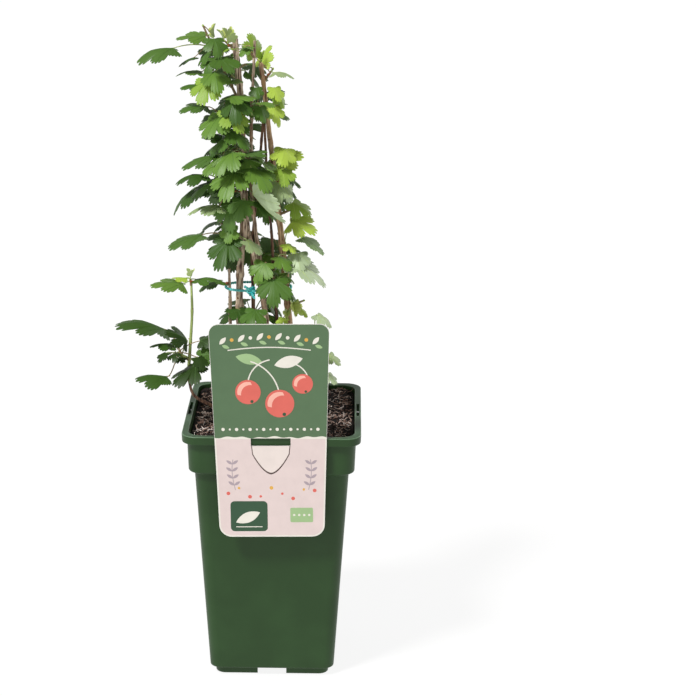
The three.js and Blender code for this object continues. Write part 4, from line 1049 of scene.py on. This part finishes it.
def blade_grid(fine):
    """The shares of the way round and out at which a blade's skin has points, and its faces."""
    teeth, _, samples = TOOTHING[fine]
    columns = len(LOBES) * teeth * samples
    wide = columns + 1
    starts = [1 + row * wide for row in range(len(GRID_ROWS[fine]))]
    upper = [(0, 1 + j, 2 + j) for j in range(columns)]
    for a in starts[:-1]:
        upper += [(a + j, a + wide + j, a + wide + j + 1, a + j + 1) for j in range(columns)]
    count = starts[-1] + wide
    lower = [tuple(count + k for k in reversed(face)) for face in upper]
    edge = [0] + starts + [starts[-1] + j for j in range(1, columns)] + [a + columns for a in starts[::-1]]
    rim = [(a, count + a, count + b, b) for a, b in zip(edge, edge[1:] + edge[:1])]
    return columns, upper, lower, rim


BLADE_GRIDS = {True: blade_grid(True), False: blade_grid(False)}


def blade_parts(leaf, fine, young, tint, under, vein, roll):
    """The blade as a thin closed skin with toothed lobes, and the ribs of its main veins."""
    columns, upper, lower, rim = BLADE_GRIDS[fine]
    teeth, notch, samples = TOOTHING[fine]
    share = np.array(GRID_ROWS[fine])[:, None]
    steps = np.arange(columns + 1)
    span = samples * teeth
    lobes = np.array(LOBES) * [1 + VARIED.lobes * (next(roll) - 0.5) for _ in LOBES]
    sinuses = np.array(SINUSES) * between(roll, *VARIED.sinuses)
    lobe = np.minimum(steps // span, len(LOBES) - 1)
    across = (steps - lobe * span) / span * 2 - 1  # -1 to 1 across the lobe
    foot = np.where(across < 0, sinuses[lobe], sinuses[lobe + 1])
    crown = np.sqrt(np.maximum(0, 1 - np.abs(across) ** BLADE.lobe_round))
    tooth = notch + (1 - notch) * np.sin(steps % samples / samples * math.pi) ** BLADE.tooth_round
    reach = mix(foot, lobes[lobe], crown) * np.where(steps % span == 0, 1.0, tooth)
    swing = LOBE_STEP * len(LOBES) / 2
    turn = steps / columns * 2 * swing - swing + VARIED.skew * (next(roll) - 0.5)
    out = share * reach
    forward = np.append(0, out * np.cos(np.radians(turn)))
    aside = np.append(0, out * np.sin(np.radians(turn)))
    ribs = 1 - np.exp(-((across * LOBE_STEP / 2 / RELIEF.vein_width) ** 2))
    wave = RELIEF.wave * np.sin(np.radians(steps / columns * RELIEF.waves) + 6 * next(roll))
    droop = between(roll, *VARIED.droop)
    lift = np.append(0, RELIEF.swell * ribs * out - droop * out**3 + wave * share**2)
    # The fold along the midrib is a little rounded.
    ease = RELIEF.crease
    aside = np.sign(aside) * (np.sqrt(aside**2 + ease**2) - ease * np.exp(-np.abs(aside) * 12))
    half = BLADE.thick / 2 / leaf.size * (1 if fine else BLADE.small_thick)
    fold = -math.radians(BLADE.young_fold) if young else BLADE.open * leaf.fold
    top, bottom = (leaf.on_blade(forward, aside * BLADE.wide, lift + side * half, fold) for side in (1, -1))
    finish = [tint] * len(upper) + [under] * len(lower) + [tint] * len(rim)
    parts = [(np.concatenate([top, bottom]), upper + lower + rim, finish)]
    if fine:
        for column in range(span // 2, columns, span):
            spots = [top[0]] + [top[1 + row * (columns + 1) + column] for row in range(len(share) - 1)]
            taper = np.linspace(VEIN.foot, VEIN.tip, len(spots)) * min(1, leaf.size / VEIN.full_size)
            parts.append((*tube(spots, taper, 3), vein))
    return parts


def twig_tube(start, end, bend, radii, sides):
    """A twig from start to end that bows a little to one side."""
    share = np.linspace(0, 1, 9)[:, None]
    side = np.cross(end - start, (0, 0, 1.0))
    line = start + (end - start) * share + side * bend * np.sin(share * math.pi)
    return tube(line, np.linspace(*radii, 9), sides)


def bud(tip, way, size):
    """A pointed bud of a few overlapping scales, drawn as one spindle."""
    line = tip + np.outer(np.linspace(0, 1, len(BUD_RADII)) * size * 2.2, way)
    return tube(line, size * BUD_RADII, 7)


# The greens of the leaves, each with a letter by which the masses deal them out, with the paler
# side under them and their veins, for the darker greens and then for the lighter ones.
TINTS = {
    "s": ("deep_shade", "#2a4212"),
    "d": ("dark_green", "#3a5a1c"),
    "g": ("leaf_green", "#4d7028"),
    "m": ("mid_green", "#648833"),
    "b": ("bright_green", "#88a83c"),
    "l": ("lime_green", "#aac44a"),
    "p": ("grey_green", "#9cb07c"),
    "v": ("silver_green", "#b2c49a"),
    "y": ("young_leaf", "#c4d078"),
}
DARKER_TINTS = "sdgm"
PAINTED_LIGHT_SHARE = 0.55  # how much a leaf's place towards +X, more than chance, sets its green: the paler greens there are painted light
OTHER_SKINS = (
    ("dark_underside", "#6f8a5a", 0.7),
    ("light_underside", "#a5b77a", 0.7),
    ("dark_leaf_vein", "#52763a", 0.6),
    ("light_leaf_vein", "#aec066", 0.6),
)


def painted_light_side(spot):
    """How far a place lies towards +X, from 0 at the other side to 1: the side whose leaves get paler
    greens as painted light.
    """
    middle, radius = crown_at(spot[2])
    return min(1, max(0, 0.5 + (spot[0] - middle) / (1.4 * radius)))


def make_leaves():
    finishes = [leaf_skin(*skin) for skin in (*TINTS.values(), *OTHER_SKINS)]
    letters = list(TINTS)
    groups = {}
    for name, mass in MASSES.items():
        parts, names = groups.setdefault(mass.slot, ([], []))
        names.append(name)
        roll = mass.fine_dice
        led = iter(mass.tints)
        greens = sorted(mass.deal, key=letters.index)
        for group, fine in ((mass.leaves, True), (mass.small_leaves, False)):
            for leaf in group:
                # Leaves towards +X are dealt the paler greens: painted light, for light shining through
                # them from that side.
                lit = mix(next(roll), painted_light_side(leaf.base), PAINTED_LIGHT_SHARE)
                dealt = greens[min(int(lit * len(greens)), len(greens) - 1)]
                letter = next(led, dealt) if fine else dealt
                under = len(TINTS) + (letter not in DARKER_TINTS)
                skins = letters.index(letter), under, under + 2
                parts += blade_parts(leaf, fine, letter == "y", *skins, roll)
    for slot_name, (parts, names) in groups.items():
        make_piece(f"{slot_name}_blades", parts, finishes, slot_name, names, crease=50)


def make_twigs():
    """Stalks, twigs and buds, each kind joined."""
    stalks, twigs, buds = [], [], []
    for mass in MASSES.values():
        roll = mass.fine_dice
        for leaf in mass.leaves + mass.small_leaves:
            size = STALK.radius * mix(STALK.least, 1, min(1, leaf.size / STALK.full_size))
            radii = np.linspace(size, size * STALK.taper, 8)
            stalks.append((*tube(leaf.stalk(np.linspace(0, 1, 8)), radii, 6), int(next(roll) * 3)))
        end = mass.twig[1]
        way = unit(end - mass.joint)
        twigs.append(twig_tube(mass.joint, end, 0.02, TWIG_RADII.main, 8))
        buds.append(bud(end - way, way, 1.0))
        for _ in range(3):
            spot = mix(mass.twig[0], end, next(roll) * 0.5)
            way = heading(360 * next(roll), 10 + 50 * next(roll))
            buds.append((*bud(spot, way, 0.8 + 0.5 * next(roll)), 1))
        for foot, tip in mass.fine_twigs:
            twigs.append((*twig_tube(foot, tip, 0.03, TWIG_RADII.fine, 6), 1))
    stalk_greens = enumerate(("#8fa75a", "#a5b26c", "#a08a62"))
    kinds = {
        "leaf_stalks": (stalks, [(f"leaf_stalk_{i}", colour, 0.5) for i, colour in stalk_greens]),
        "crown_twigs": (twigs, [("twig_skin", "#7d6a48", 0.7), ("fine_twig_skin", "#8b8a52", 0.6)]),
        "crown_buds": (buds, [("green_bud", "#9db44f"), ("bud_scales", "#9a5a34", 0.7)]),
    }
    for name, (parts, skins) in kinds.items():
        make_piece(name, parts, [leaf_skin(*skin) for skin in skins], "green_stem", list(MASSES))


# ---- limbs as meshes ----------------------------------------------------------------------------

ROOTED = 4  # how far a stem goes on below the soil's top
# Bark: the step between its rings of points and the points a ring, then what shapes it. Knuckles
# are the swollen places where buds once were, strips stand off the cane as flakes, and fine ridges
# run between them. Each is a share of the radius and the length that it runs for.
BARK = Sizes(ring=1.3, sides=22, knuckle=0.16, knuckle_step=27, strip=0.16, strip_run=16)
FLAKE = Sizes(high=0.09, from_strip=0.12)
RIDGE = Sizes(high=0.1, fine=3.2, run=7)


def make_limb(name, limb, finish, record_slot, rough):
    """A limb with papery strips that stand off it, swollen knuckles and small dormant buds."""
    length = sum(np.linalg.norm(b - a) for a, b in zip(limb.stops, limb.stops[1:]))
    shares = np.linspace(0, 1, int(length / BARK.ring))
    line = np.array([limb.spot(share) for share in shares])
    base = np.array([limb.radius(share) for share in shares])
    roll = dice(SEED + sum(name.encode()))
    offset = 90 * next(roll)
    if limb.grounded:
        below = line[0] - np.outer(np.linspace(1, 0.35, 3), (0, 0, ROOTED))
        line, base = np.concatenate([below, line]), np.concatenate([np.full(3, base[0]), base])
    step = BARK.knuckle_step
    radii = np.empty((len(line), BARK.sides))
    for i, (spot, radius) in enumerate(zip(line, base)):
        knuckle = BARK.knuckle * math.exp(-(((spot[2] + offset) % step - step / 2) ** 2) / 5)
        for k in range(BARK.sides):
            angle = k * 2 * math.pi / BARK.sides
            x, y = 1.3 * math.cos(angle), 1.3 * math.sin(angle)
            strip = noise(Vector((x + offset, y, spot[2] / BARK.strip_run)))
            ridge = noise(Vector((RIDGE.fine * x, RIDGE.fine * y + offset, spot[2] / RIDGE.run)))
            relief = BARK.strip * strip + RIDGE.high * ridge
            if strip > FLAKE.from_strip:
                relief += FLAKE.high
            radii[i, k] = radius * (1 + knuckle + rough * relief) - 0.05
    parts = [tube(line, radii, BARK.sides)]
    side = 0
    for height in np.arange(line[0][2] + step, line[-1][2] - 6, step):
        share = limb.share_at(height)
        radius = limb.radius(share)
        side += 137 + 20 * next(roll)
        way = heading(side, 35)
        parts.append((*bud(limb.spot(share) + way * radius * 0.6, way, 0.3 * radius + 0.35), 1))
    finishes = [finish, leaf_skin(f"{name}_dormant_bud", "#7c5238", roughness=0.7)]
    make_piece(f"{name}_bark", parts, finishes, record_slot, [name], crease=60)


def make_limbs():
    pale = bark("peeling_old_bark", "#e0c8ae", "#4a2e22", "#a9876c"), "pale_bark", 1.0
    tan = bark("tan_old_bark", "#d0ae88", "#6f4d38", "#b08a66"), "pale_bark", 1.0
    dark = bark("dark_inner_bark", "#94705a", "#2e1b14", "#62453a"), "dark_bark", 0.9
    green = leaf_skin("green_shoot_skin", "#a3b56a", roughness=0.5), "green_stem", 0.35
    kinds = {"cane_right": tan, "left_shoot": green}
    kinds |= dict.fromkeys(("cane_dark", "cane_slender", "low_branch"), dark)
    for name, limb in limbs.items():
        make_limb(name, limb, *kinds.get(name, pale))


# ---- ties ---------------------------------------------------------------------------------------

STRAND = Sizes(radius=0.66, twist=4.2)  # the twist is the length of one turn of the two strands
LOOP_SQUARE = 0.75  # how square the loop is in plan: 1 would be an oval
KNOT = Sizes(size=3.1, ahead=1.6, second=(0.4, -0.9, 0.8), end_length=8, end_climbs=(40, -35))


def loop_spot(tie, turn):
    """A spot on the loop: a rounded box in plan, lower at the front."""
    c, s = math.cos(turn), math.sin(turn)
    wide = tie.wide * math.copysign(abs(c) ** LOOP_SQUARE, c)
    deep = tie.deep * math.copysign(abs(s) ** LOOP_SQUARE, s)
    return np.array([tie.x + wide, tie.y + deep, tie.z + tie.sag * s])


def two_strands(line):
    """String of two strands laid round each other along a line."""
    line = np.asarray(line, float)
    steps = np.linalg.norm(np.diff(line, axis=0), axis=1)
    phase = np.append(0, np.cumsum(steps)) / STRAND.twist * 2 * math.pi
    along = unit(np.gradient(line, axis=0))
    aside = unit(np.cross(along, (0.05, 0.02, 1.0)))
    across = np.cross(along, aside)
    strands = []
    for start in (0, math.pi):
        c, s = np.cos(phase + start)[:, None], np.sin(phase + start)[:, None]
        strands.append(tube(line + STRAND.radius * 0.9 * (c * aside + s * across), STRAND.radius, 7))
    return strands


def make_ties():
    finish = tie_string("teal_vinyl_string")
    t = np.linspace(0, 2 * math.pi, 90)
    wide, high = np.sin(t) + 2 * np.sin(2 * t), np.cos(t) - 2 * np.cos(2 * t)
    knot = np.column_stack([wide, -0.8 * np.sin(3 * t), high]) * KNOT.size
    share = np.linspace(0, 1, 30)[:, None]
    for name, tie in TIES.items():
        start = math.radians(tie.knot)
        parts = two_strands([loop_spot(tie, start + t) for t in np.linspace(0.02, 2 * math.pi - 0.02, 220)])
        middle = loop_spot(tie, start) - (0, KNOT.ahead, 0)
        parts += two_strands(middle + knot / 3)
        parts += two_strands(middle + KNOT.second + knot[:, (2, 1, 0)] / 2.6)
        for turn, climb in zip(tie.ends, KNOT.end_climbs):
            tip = middle + KNOT.end_length * heading(turn, climb)
            parts += two_strands(bowed(middle, mix(middle, tip, 0.5) + (0, -1.5, 1), tip, share))
        make_piece(f"{name}_string", parts, [finish], "tie_string", [name])


# ---- soil ---------------------------------------------------------------------------------------

SOIL = Sizes(grid=110, crumbs=1500, fibres=1100, heap=5.5, draft=1.4)
SOIL_SLACK = 2 * (WALL + GAP)
SOIL_HALF = (COLLAR.top - SOIL_SLACK - SOIL.draft) / 2
LUMPS = Sizes(large=13, large_high=1.5, small=4, small_high=0.9, keep=0.8, sunk=0.9)
CRUMB = Sizes(size=(0.5, 1.6), corner=(0.3, 0.6), belly=1.8, sides=6)
FIBRE = Sizes(length=(4, 12), climb=(-10, 32), bow=(-1.1, 1.1), curl=0.06, radius=(0.22, 0.5))
FIBRE_TAPER = np.array([0.5, 1, 1, 1, 1, 1, 0.9, 0.4])


def soil_height(x, y):
    """Level in the middle, falling to the pot's sides, heaped at the back and lumpy all over."""
    out = max(abs(x), abs(y))
    fall = min(1, max(0, (out - SOIL_FLAT / 2) / (SOIL_HALF - SOIL_FLAT / 2)))
    lump = noise(Vector((x / LUMPS.large, y / LUMPS.large, 0))) * LUMPS.large_high
    lump += noise(Vector((x / LUMPS.small, y / LUMPS.small, 3))) * LUMPS.small_high
    heap = SOIL.heap * max(0, y / SOIL_HALF) ** 2
    return mix(SOIL_Z, SOIL_EDGE_Z, fall) + heap - LUMPS.sunk + LUMPS.keep * lump * (1 - 0.6 * fall)


def drawn_in(x, y):
    """Pulls a place on the soil's square grid in from the square's corners."""
    corner = SOIL_HALF - 2 * SOIL_HALF * CORNER_SHARE
    dx, dy = max(0, abs(x) - corner), max(0, abs(y) - corner)
    run = math.hypot(dx, dy)
    pull = max(dx, dy) / run - 1 if run > 0 else 0
    return math.copysign(abs(x) + dx * pull, x), math.copysign(abs(y) + dy * pull, y)


def make_soil():
    """Peat compost in the pot: a lumpy top with crumbs and tan strands of fibre strewn on it."""
    under = [
        (COLLAR.bottom - SOIL_SLACK - SOIL.draft, LEDGE_Z + GAP + 0.2),
        (body_width(LEDGE_Z) - SOIL_SLACK - 0.3, LEDGE_Z + GAP),
        (BODY.bottom - SOIL_SLACK, FLOOR_TOP + GAP),
    ]
    n = SOIL.grid
    wide = n + 1
    edge = np.linspace(-SOIL_HALF, SOIL_HALF, wide)
    top = [drawn_in(x, y) for y in edge for x in edge]
    points = [(x, y, soil_height(x, y)) for x, y in top]
    faces = [(a, a + 1, a + wide + 1, a + wide) for i in range(n) for a in range(i * wide, i * wide + n)]
    border = list(range(n)) + [i * wide + n for i in range(n)]
    border += [n * wide + n - j for j in range(n)] + [(n - i) * wide for i in range(n)]
    high = border
    for width, z in under:
        low = list(range(len(points), len(points) + len(border)))
        share = width / 2 / SOIL_HALF
        points += [(points[k][0] * share, points[k][1] * share, z) for k in border]
        for k, after in zip(range(len(border)), [*range(1, len(border)), 0]):
            faces.append((low[k], low[after], high[after], high[k]))
        high = low
    faces.append(tuple(reversed(high)))
    roll = dice(SEED + 3)
    crumbs = [(*crumb(roll), int(2 * next(roll))) for _ in range(SOIL.crumbs)]
    fibres = [(*fibre(roll), 2 + int(3 * next(roll))) for _ in range(SOIL.fibres)]
    finishes = [peat("peat_compost", "#21150f", "#0c0705", 5), peat("peat_crumbs", "#46302a", "#1a100d", 3)]
    for number, colour in enumerate(("#c4aca0", "#f0e2da", "#86695c")):
        finishes.append(peat(f"plant_fibre_{number}", colour, "#8a6e60", 4))
    parts = [(points, faces), *crumbs, *fibres]
    make_piece("peat_soil", parts, finishes, "potting_soil", ["soil"], crease=60)


def soil_spot(roll):
    half = COLLAR.top / 2 - 6
    x, y = between(roll, -half, half), between(roll, -half, half)
    return np.array([x, y, soil_height(x, y)])


def crumb(roll):
    """A small uneven lump: a short tube of four rings, each corner pushed in or out."""
    size = mix(*CRUMB.size, next(roll) ** 2)
    corners = [[between(roll, *CRUMB.corner) for _ in range(CRUMB.sides)] for _ in range(4)]
    radii = size * np.array(corners)
    radii[1:3] *= CRUMB.belly
    way = heading(360 * next(roll), 90 * next(roll))
    line = soil_spot(roll) + np.outer(np.linspace(-0.7, 0.9, 4) * size, way) + (0, 0, 0.2 * size)
    return tube(line, radii, CRUMB.sides)


def fibre(roll):
    """A stray strand lying on the soil, bowed once."""
    spot = soil_spot(roll) + (0, 0, 0.5)
    turn = 360 * next(roll)
    length = between(roll, *FIBRE.length)
    way, side = heading(turn, between(roll, *FIBRE.climb)), heading(turn + 90, 0)
    share = np.linspace(-0.5, 0.5, len(FIBRE_TAPER))
    bow = (0.25 - share**2) * length * between(roll, *FIBRE.bow)
    curl = FIBRE.curl * length * np.sin(share * 9 + 6 * next(roll))
    line = spot + np.outer(share * length, way) + np.outer(bow, side) + np.outer(curl, (0, 0, 1))
    return tube(line, mix(*FIBRE.radius, next(roll) ** 1.5) * FIBRE_TAPER, 5)


# ---- label --------------------------------------------------------------------------------------

CARD = Sizes(bottom_z=140, top_z=326, bottom=88.3, top=98.5, thick=1, radius=8, foot=10.5, lean=0.9)
CARD_BACK_Y = -LIP.width / 2 - GAP - 0.1
CARD_FRONT_Y = CARD_BACK_Y - CARD.thick
SLOT = Sizes(bottom_z=220.8, top_z=227.6, width=33)
# The card's tongue: straight sides for its first part, then a narrowing curve to its tip; its line is the
# width of the painted shadow along its cut edge.
TONGUE = Sizes(depth=25, straight=0.3, narrowing=0.58, line=0.75)
HOOK = Sizes(width=29, thick=1, rise=0.7, reach=6.9, drop=9, bevel=0.7)
INK = 0.03  # how far each ink stands out of the one below it
EDGE_BARE = 0.3  # bare card round the printed green
TORN = Sizes(z=228.6, high=0.5)  # the torn edge between the two printed parts
INKS = {
    "card_white": "#eae5df",
    "label_green": "#567050",
    "label_cream": "#e4dfd3",
    "label_pink": "#dccac6",
    "berry_coral": "#d8685c",
    "berry_light": "#f2b3a2",
    "soft_green": "#9dba86",
    "pine_green": "#33523a",
    "mustard": "#dba84e",
    "line_grey": "#a99aa0",
    # The dark brown is a painted shadow along the tongue's cut edge.
    "painted_cut_shadow_brown": "#54433f",
    "tongue_cream": "#e2d5ce",
}


def half_width(z):
    return mix(CARD.bottom, CARD.top, (z - CARD.bottom_z) / (CARD.top_z - CARD.bottom_z)) / 2


def panel(low, high, inset, low_radius, high_radius):
    """The card's outline between two heights, set in from its sides, with rounded corners."""
    return rounded(lambda z: half_width(z) - inset, low, high, (low_radius, high_radius))


def patch(x, half, low, high, radius):
    """A plain rectangle with rounded corners."""
    return rounded(lambda _: half, low, high, (radius, radius), x)


def tongue_outline(inset):
    """The tongue's outline set in by a line's width, and by twice that at its tip."""
    half = SLOT.width / 2 - inset
    low = SLOT.bottom_z
    share = 1 - np.linspace(1, 0, 10) ** 2
    curve_x = (half - 1) * (1 - share) ** TONGUE.narrowing
    curve_z = low - (TONGUE.depth - 2 * inset) * mix(TONGUE.straight, 1, share)
    left = [(-half, low + 2)] + [(-x, z) for x, z in zip(curve_x, curve_z)]
    return left + [(-x, z) for x, z in left[-2::-1]]


def disc(x, z, radius, count=28):
    return arc(x, z, radius, 0, 360 * (1 - 1 / count), count)


def crescent(x, z, radius):
    """The light along the upper left of a round berry."""
    inner = arc(x + 0.25 * radius, z - 0.2 * radius, 0.9 * radius, 188, 82, 12)
    return arc(x, z, radius, 75, 195, 12) + inner


def sprig_leaf(x, z, length, width, turn):
    """A pointed leaf that starts at x, z."""
    share = np.linspace(0, 1, 11)[:, None]
    bow = width / 2 * np.sin(share * math.pi) ** 0.8
    way = np.array([math.cos(math.radians(turn)), math.sin(math.radians(turn))])
    side = np.array([-way[1], way[0]])
    middle = (x, z) + length * share * way
    return [*(middle - bow * side), *(middle + bow * side)[-2:0:-1]]


def stroke(spots, width):
    """A drawn line of even width."""
    spots = np.array(spots, float)
    way = unit(np.gradient(spots, axis=0))
    side = np.column_stack([-way[:, 1], way[:, 0]]) * width / 2
    return [*(spots - side), *(spots + side)[::-1]]


def fields():
    """The large inked fields: cream under all, green above the torn edge and pink below it."""
    low, high, foot = CARD.bottom_z, CARD.top_z - EDGE_BARE, CARD.foot
    across = np.linspace(1, -1, 90) * (half_width(TORN.z) - EDGE_BARE)
    wavy = [(x, TORN.z + TORN.high * (math.sin(x / 2.1) + math.sin(x / 5.3 + 1))) for x in across]
    upper_corners = panel(low, high, EDGE_BARE, 1, CARD.radius - EDGE_BARE)[:16]
    yield "label_cream", 0, panel(low + 0.4, 232, 0.4, foot - 0.4, 0.1)
    yield "label_green", 1, upper_corners + wavy[::-1]
    yield "label_pink", 1, panel(low + 1.3, TORN.z - 1.6, 1.3, foot - 1.3, 1)


def garland():
    """Leaves and dots over the top, with a line under them, and a row of dots lower down."""
    for number in range(11):
        x = (number - 5) * 7.6
        z = 311 + 4.2 * math.cos(x / 26)
        if number % 2:
            yield "mustard" if number % 4 == 1 else "label_cream", 2, disc(x, z, 1.5)
        else:
            yield "label_cream", 2, sprig_leaf(x - 2.5, z - 2.5, 8, 3.6, 48)
            yield "soft_green", 2, sprig_leaf(x - 0.5, z - 3.5, 6.5, 3.0, -20)
    line = [(x, 303 + 3.4 * math.cos(x / 26)) for x in np.linspace(-34, 34, 24)]
    yield "label_cream", 2, stroke(line, 0.9)
    for number in range(15):
        yield "label_cream", 2, disc((number - 7) * 5.6, 235.5, 0.9 if number % 2 else 1.4, 14)


def berries():
    """Three berries on their stems, with two leaves."""
    yield "label_cream", 2, sprig_leaf(4, 291, 24, 10, 14)
    yield "soft_green", 2, sprig_leaf(-6, 294, 22, 9, 168)
    yield "label_cream", 3, stroke(arc(-26, 262, 34, 72, 4, 14), 1.1)
    yield "label_cream", 4, stroke(arc(4, 274, 22, 100, 175, 14), 1.1)
    yield "label_cream", 3, stroke(arc(15, 276, 17, 70, -5, 14), 1.0)
    for x, z, size in ((-18, 268, 10.5), (8, 258, 12), (27, 275, 8.5)):
        yield "berry_coral", 5, disc(x, z, size)
        yield "berry_light", 6, crescent(x, z, size * 0.84)
        yield "pine_green", 6, disc(x + 0.3 * size, z - 0.78 * size, size * 0.13, 10)


def lower_part():
    """Grey sprigs, dots, two plain patches, and a painted shadow along the tongue's cut outline."""
    for side, foot in ((-1, -30), (1, 31)):
        spine = [(foot + side * 2.5 * math.sin(s * 2.4), 182 + 27 * s) for s in np.linspace(0, 1, 14)]
        yield "line_grey", 2, stroke(spine, 0.6)
        for x, z in spine[2::3]:
            yield "line_grey", 3, sprig_leaf(x, z, 6, 2.4, 35)
            yield "line_grey", 3, sprig_leaf(x, z, 6, 2.4, 145)
    for number in range(9):
        x, z = -36 + 9 * number, 179 + 5 * math.sin(number * 1.9)
        ink = "mustard" if number % 3 == 1 else "berry_coral"
        yield ink, 2, disc(x, z, 1.1 if number % 2 else 1.6, 16)
    yield "pine_green", 2, patch(-19, 15.5, 145, 172, 3.5)
    yield "label_cream", 3, sprig_leaf(-30, 153, 22, 9, 24)
    yield "label_cream", 3, stroke([(x, 149) for x in np.linspace(-30, -8, 8)], 0.7)
    yield "soft_green", 2, patch(25, 9.5, 153, 166, 1.2)
    for number in range(4):
        yield "label_cream", 3, disc(18.7 + 4.2 * number, 159.5, 1.0, 14)
    # A painted shadow along the tongue's cut edge, twice as wide at its tip, with the tongue's cream over
    # it.
    yield "painted_cut_shadow_brown", 2, tongue_outline(0)
    yield "tongue_cream", 3, tongue_outline(TONGUE.line)


def hook_parts():
    """The strip bent back from the slot's top edge, over the lip and down inside the pot."""
    bottom = LIP.top + HOOK.rise
    top = bottom + HOOK.thick
    inner = CARD_BACK_Y + HOOK.reach
    outer = inner + HOOK.thick
    low = top - HOOK.drop
    start = CARD_BACK_Y - CARD.thick / 2
    side = [(start, bottom), (inner, bottom), (inner, low), (outer, low), (outer, top - HOOK.bevel)]
    side += [(outer - HOOK.bevel, top), (start, top)]
    points = [(x, y, z) for x in (-HOOK.width / 2, HOOK.width / 2) for y, z in side]
    return np.array(points), ring_faces(2, len(side))


def crosses_slot(points):
    """Whether an inked shape reaches into the slot."""
    x, z = points[:, 0], points[:, 2]
    high = z.max() > SLOT.bottom_z and z.min() < SLOT.top_z
    return high and x.max() > -SLOT.width / 2 and x.min() < SLOT.width / 2


def lean_piece(made):
    """The card hangs a little off square, turned about the bottom of its slot."""
    turn = Matrix.Rotation(-math.radians(CARD.lean), 4, "Y")
    about = Matrix.Translation((0, 0, SLOT.bottom_z * MM))
    made.data.transform(about @ turn @ about.inverted())


def make_label():
    inks = {name: printed_board(name, colour) for name, colour in INKS.items()}
    bare = [inks["card_white"]]
    slot_height = SLOT.top_z - SLOT.bottom_z
    slot_place = (0, CARD_BACK_Y, SLOT.bottom_z + slot_height / 2)
    slot = block((SLOT.width, 8, slot_height), slot_place)

    def cut_slot(piece, name):
        carve(piece, make_piece(name, [slot], bare, "label_card"))

    outline = panel(CARD.bottom_z, CARD.top_z, 0, CARD.foot, CARD.radius)
    board = upright(outline, CARD_BACK_Y, CARD.thick)
    card = make_piece("label_board", [board], bare, "label_card", ["label_card"])
    cut_slot(card, "slot_tool_card")
    carve(card, make_piece("hook_tool", [hook_parts()], bare, "label_card"), "UNION")
    cut, whole = [], []
    for ink, layer, shape in (*fields(), *garland(), *berries(), *lower_part()):
        plate = upright(shape, CARD_FRONT_Y + 0.2, 0.2 + (layer + 1) * INK)
        group = cut if crosses_slot(plate[0]) else whole
        group.append((*plate, list(INKS).index(ink)))
    pieces = [card]
    groups = [("label_inks", whole)] + [(f"label_field_{i}", [part]) for i, part in enumerate(cut)]
    for name, parts in groups:
        pieces.append(make_piece(name, parts, inks.values(), "label_card", ["label_card"]))
    for number, piece in enumerate(pieces[2:]):
        cut_slot(piece, f"slot_tool_{number}")
    for piece in pieces:
        lean_piece(piece)


# ---- the whole plant in its pot -----------------------------------------------------------------

make_camera()
make_studio()
make_floor()
make_pot()
make_soil()
make_label()
grow()
make_leaves()
make_twigs()
make_limbs()
make_ties()
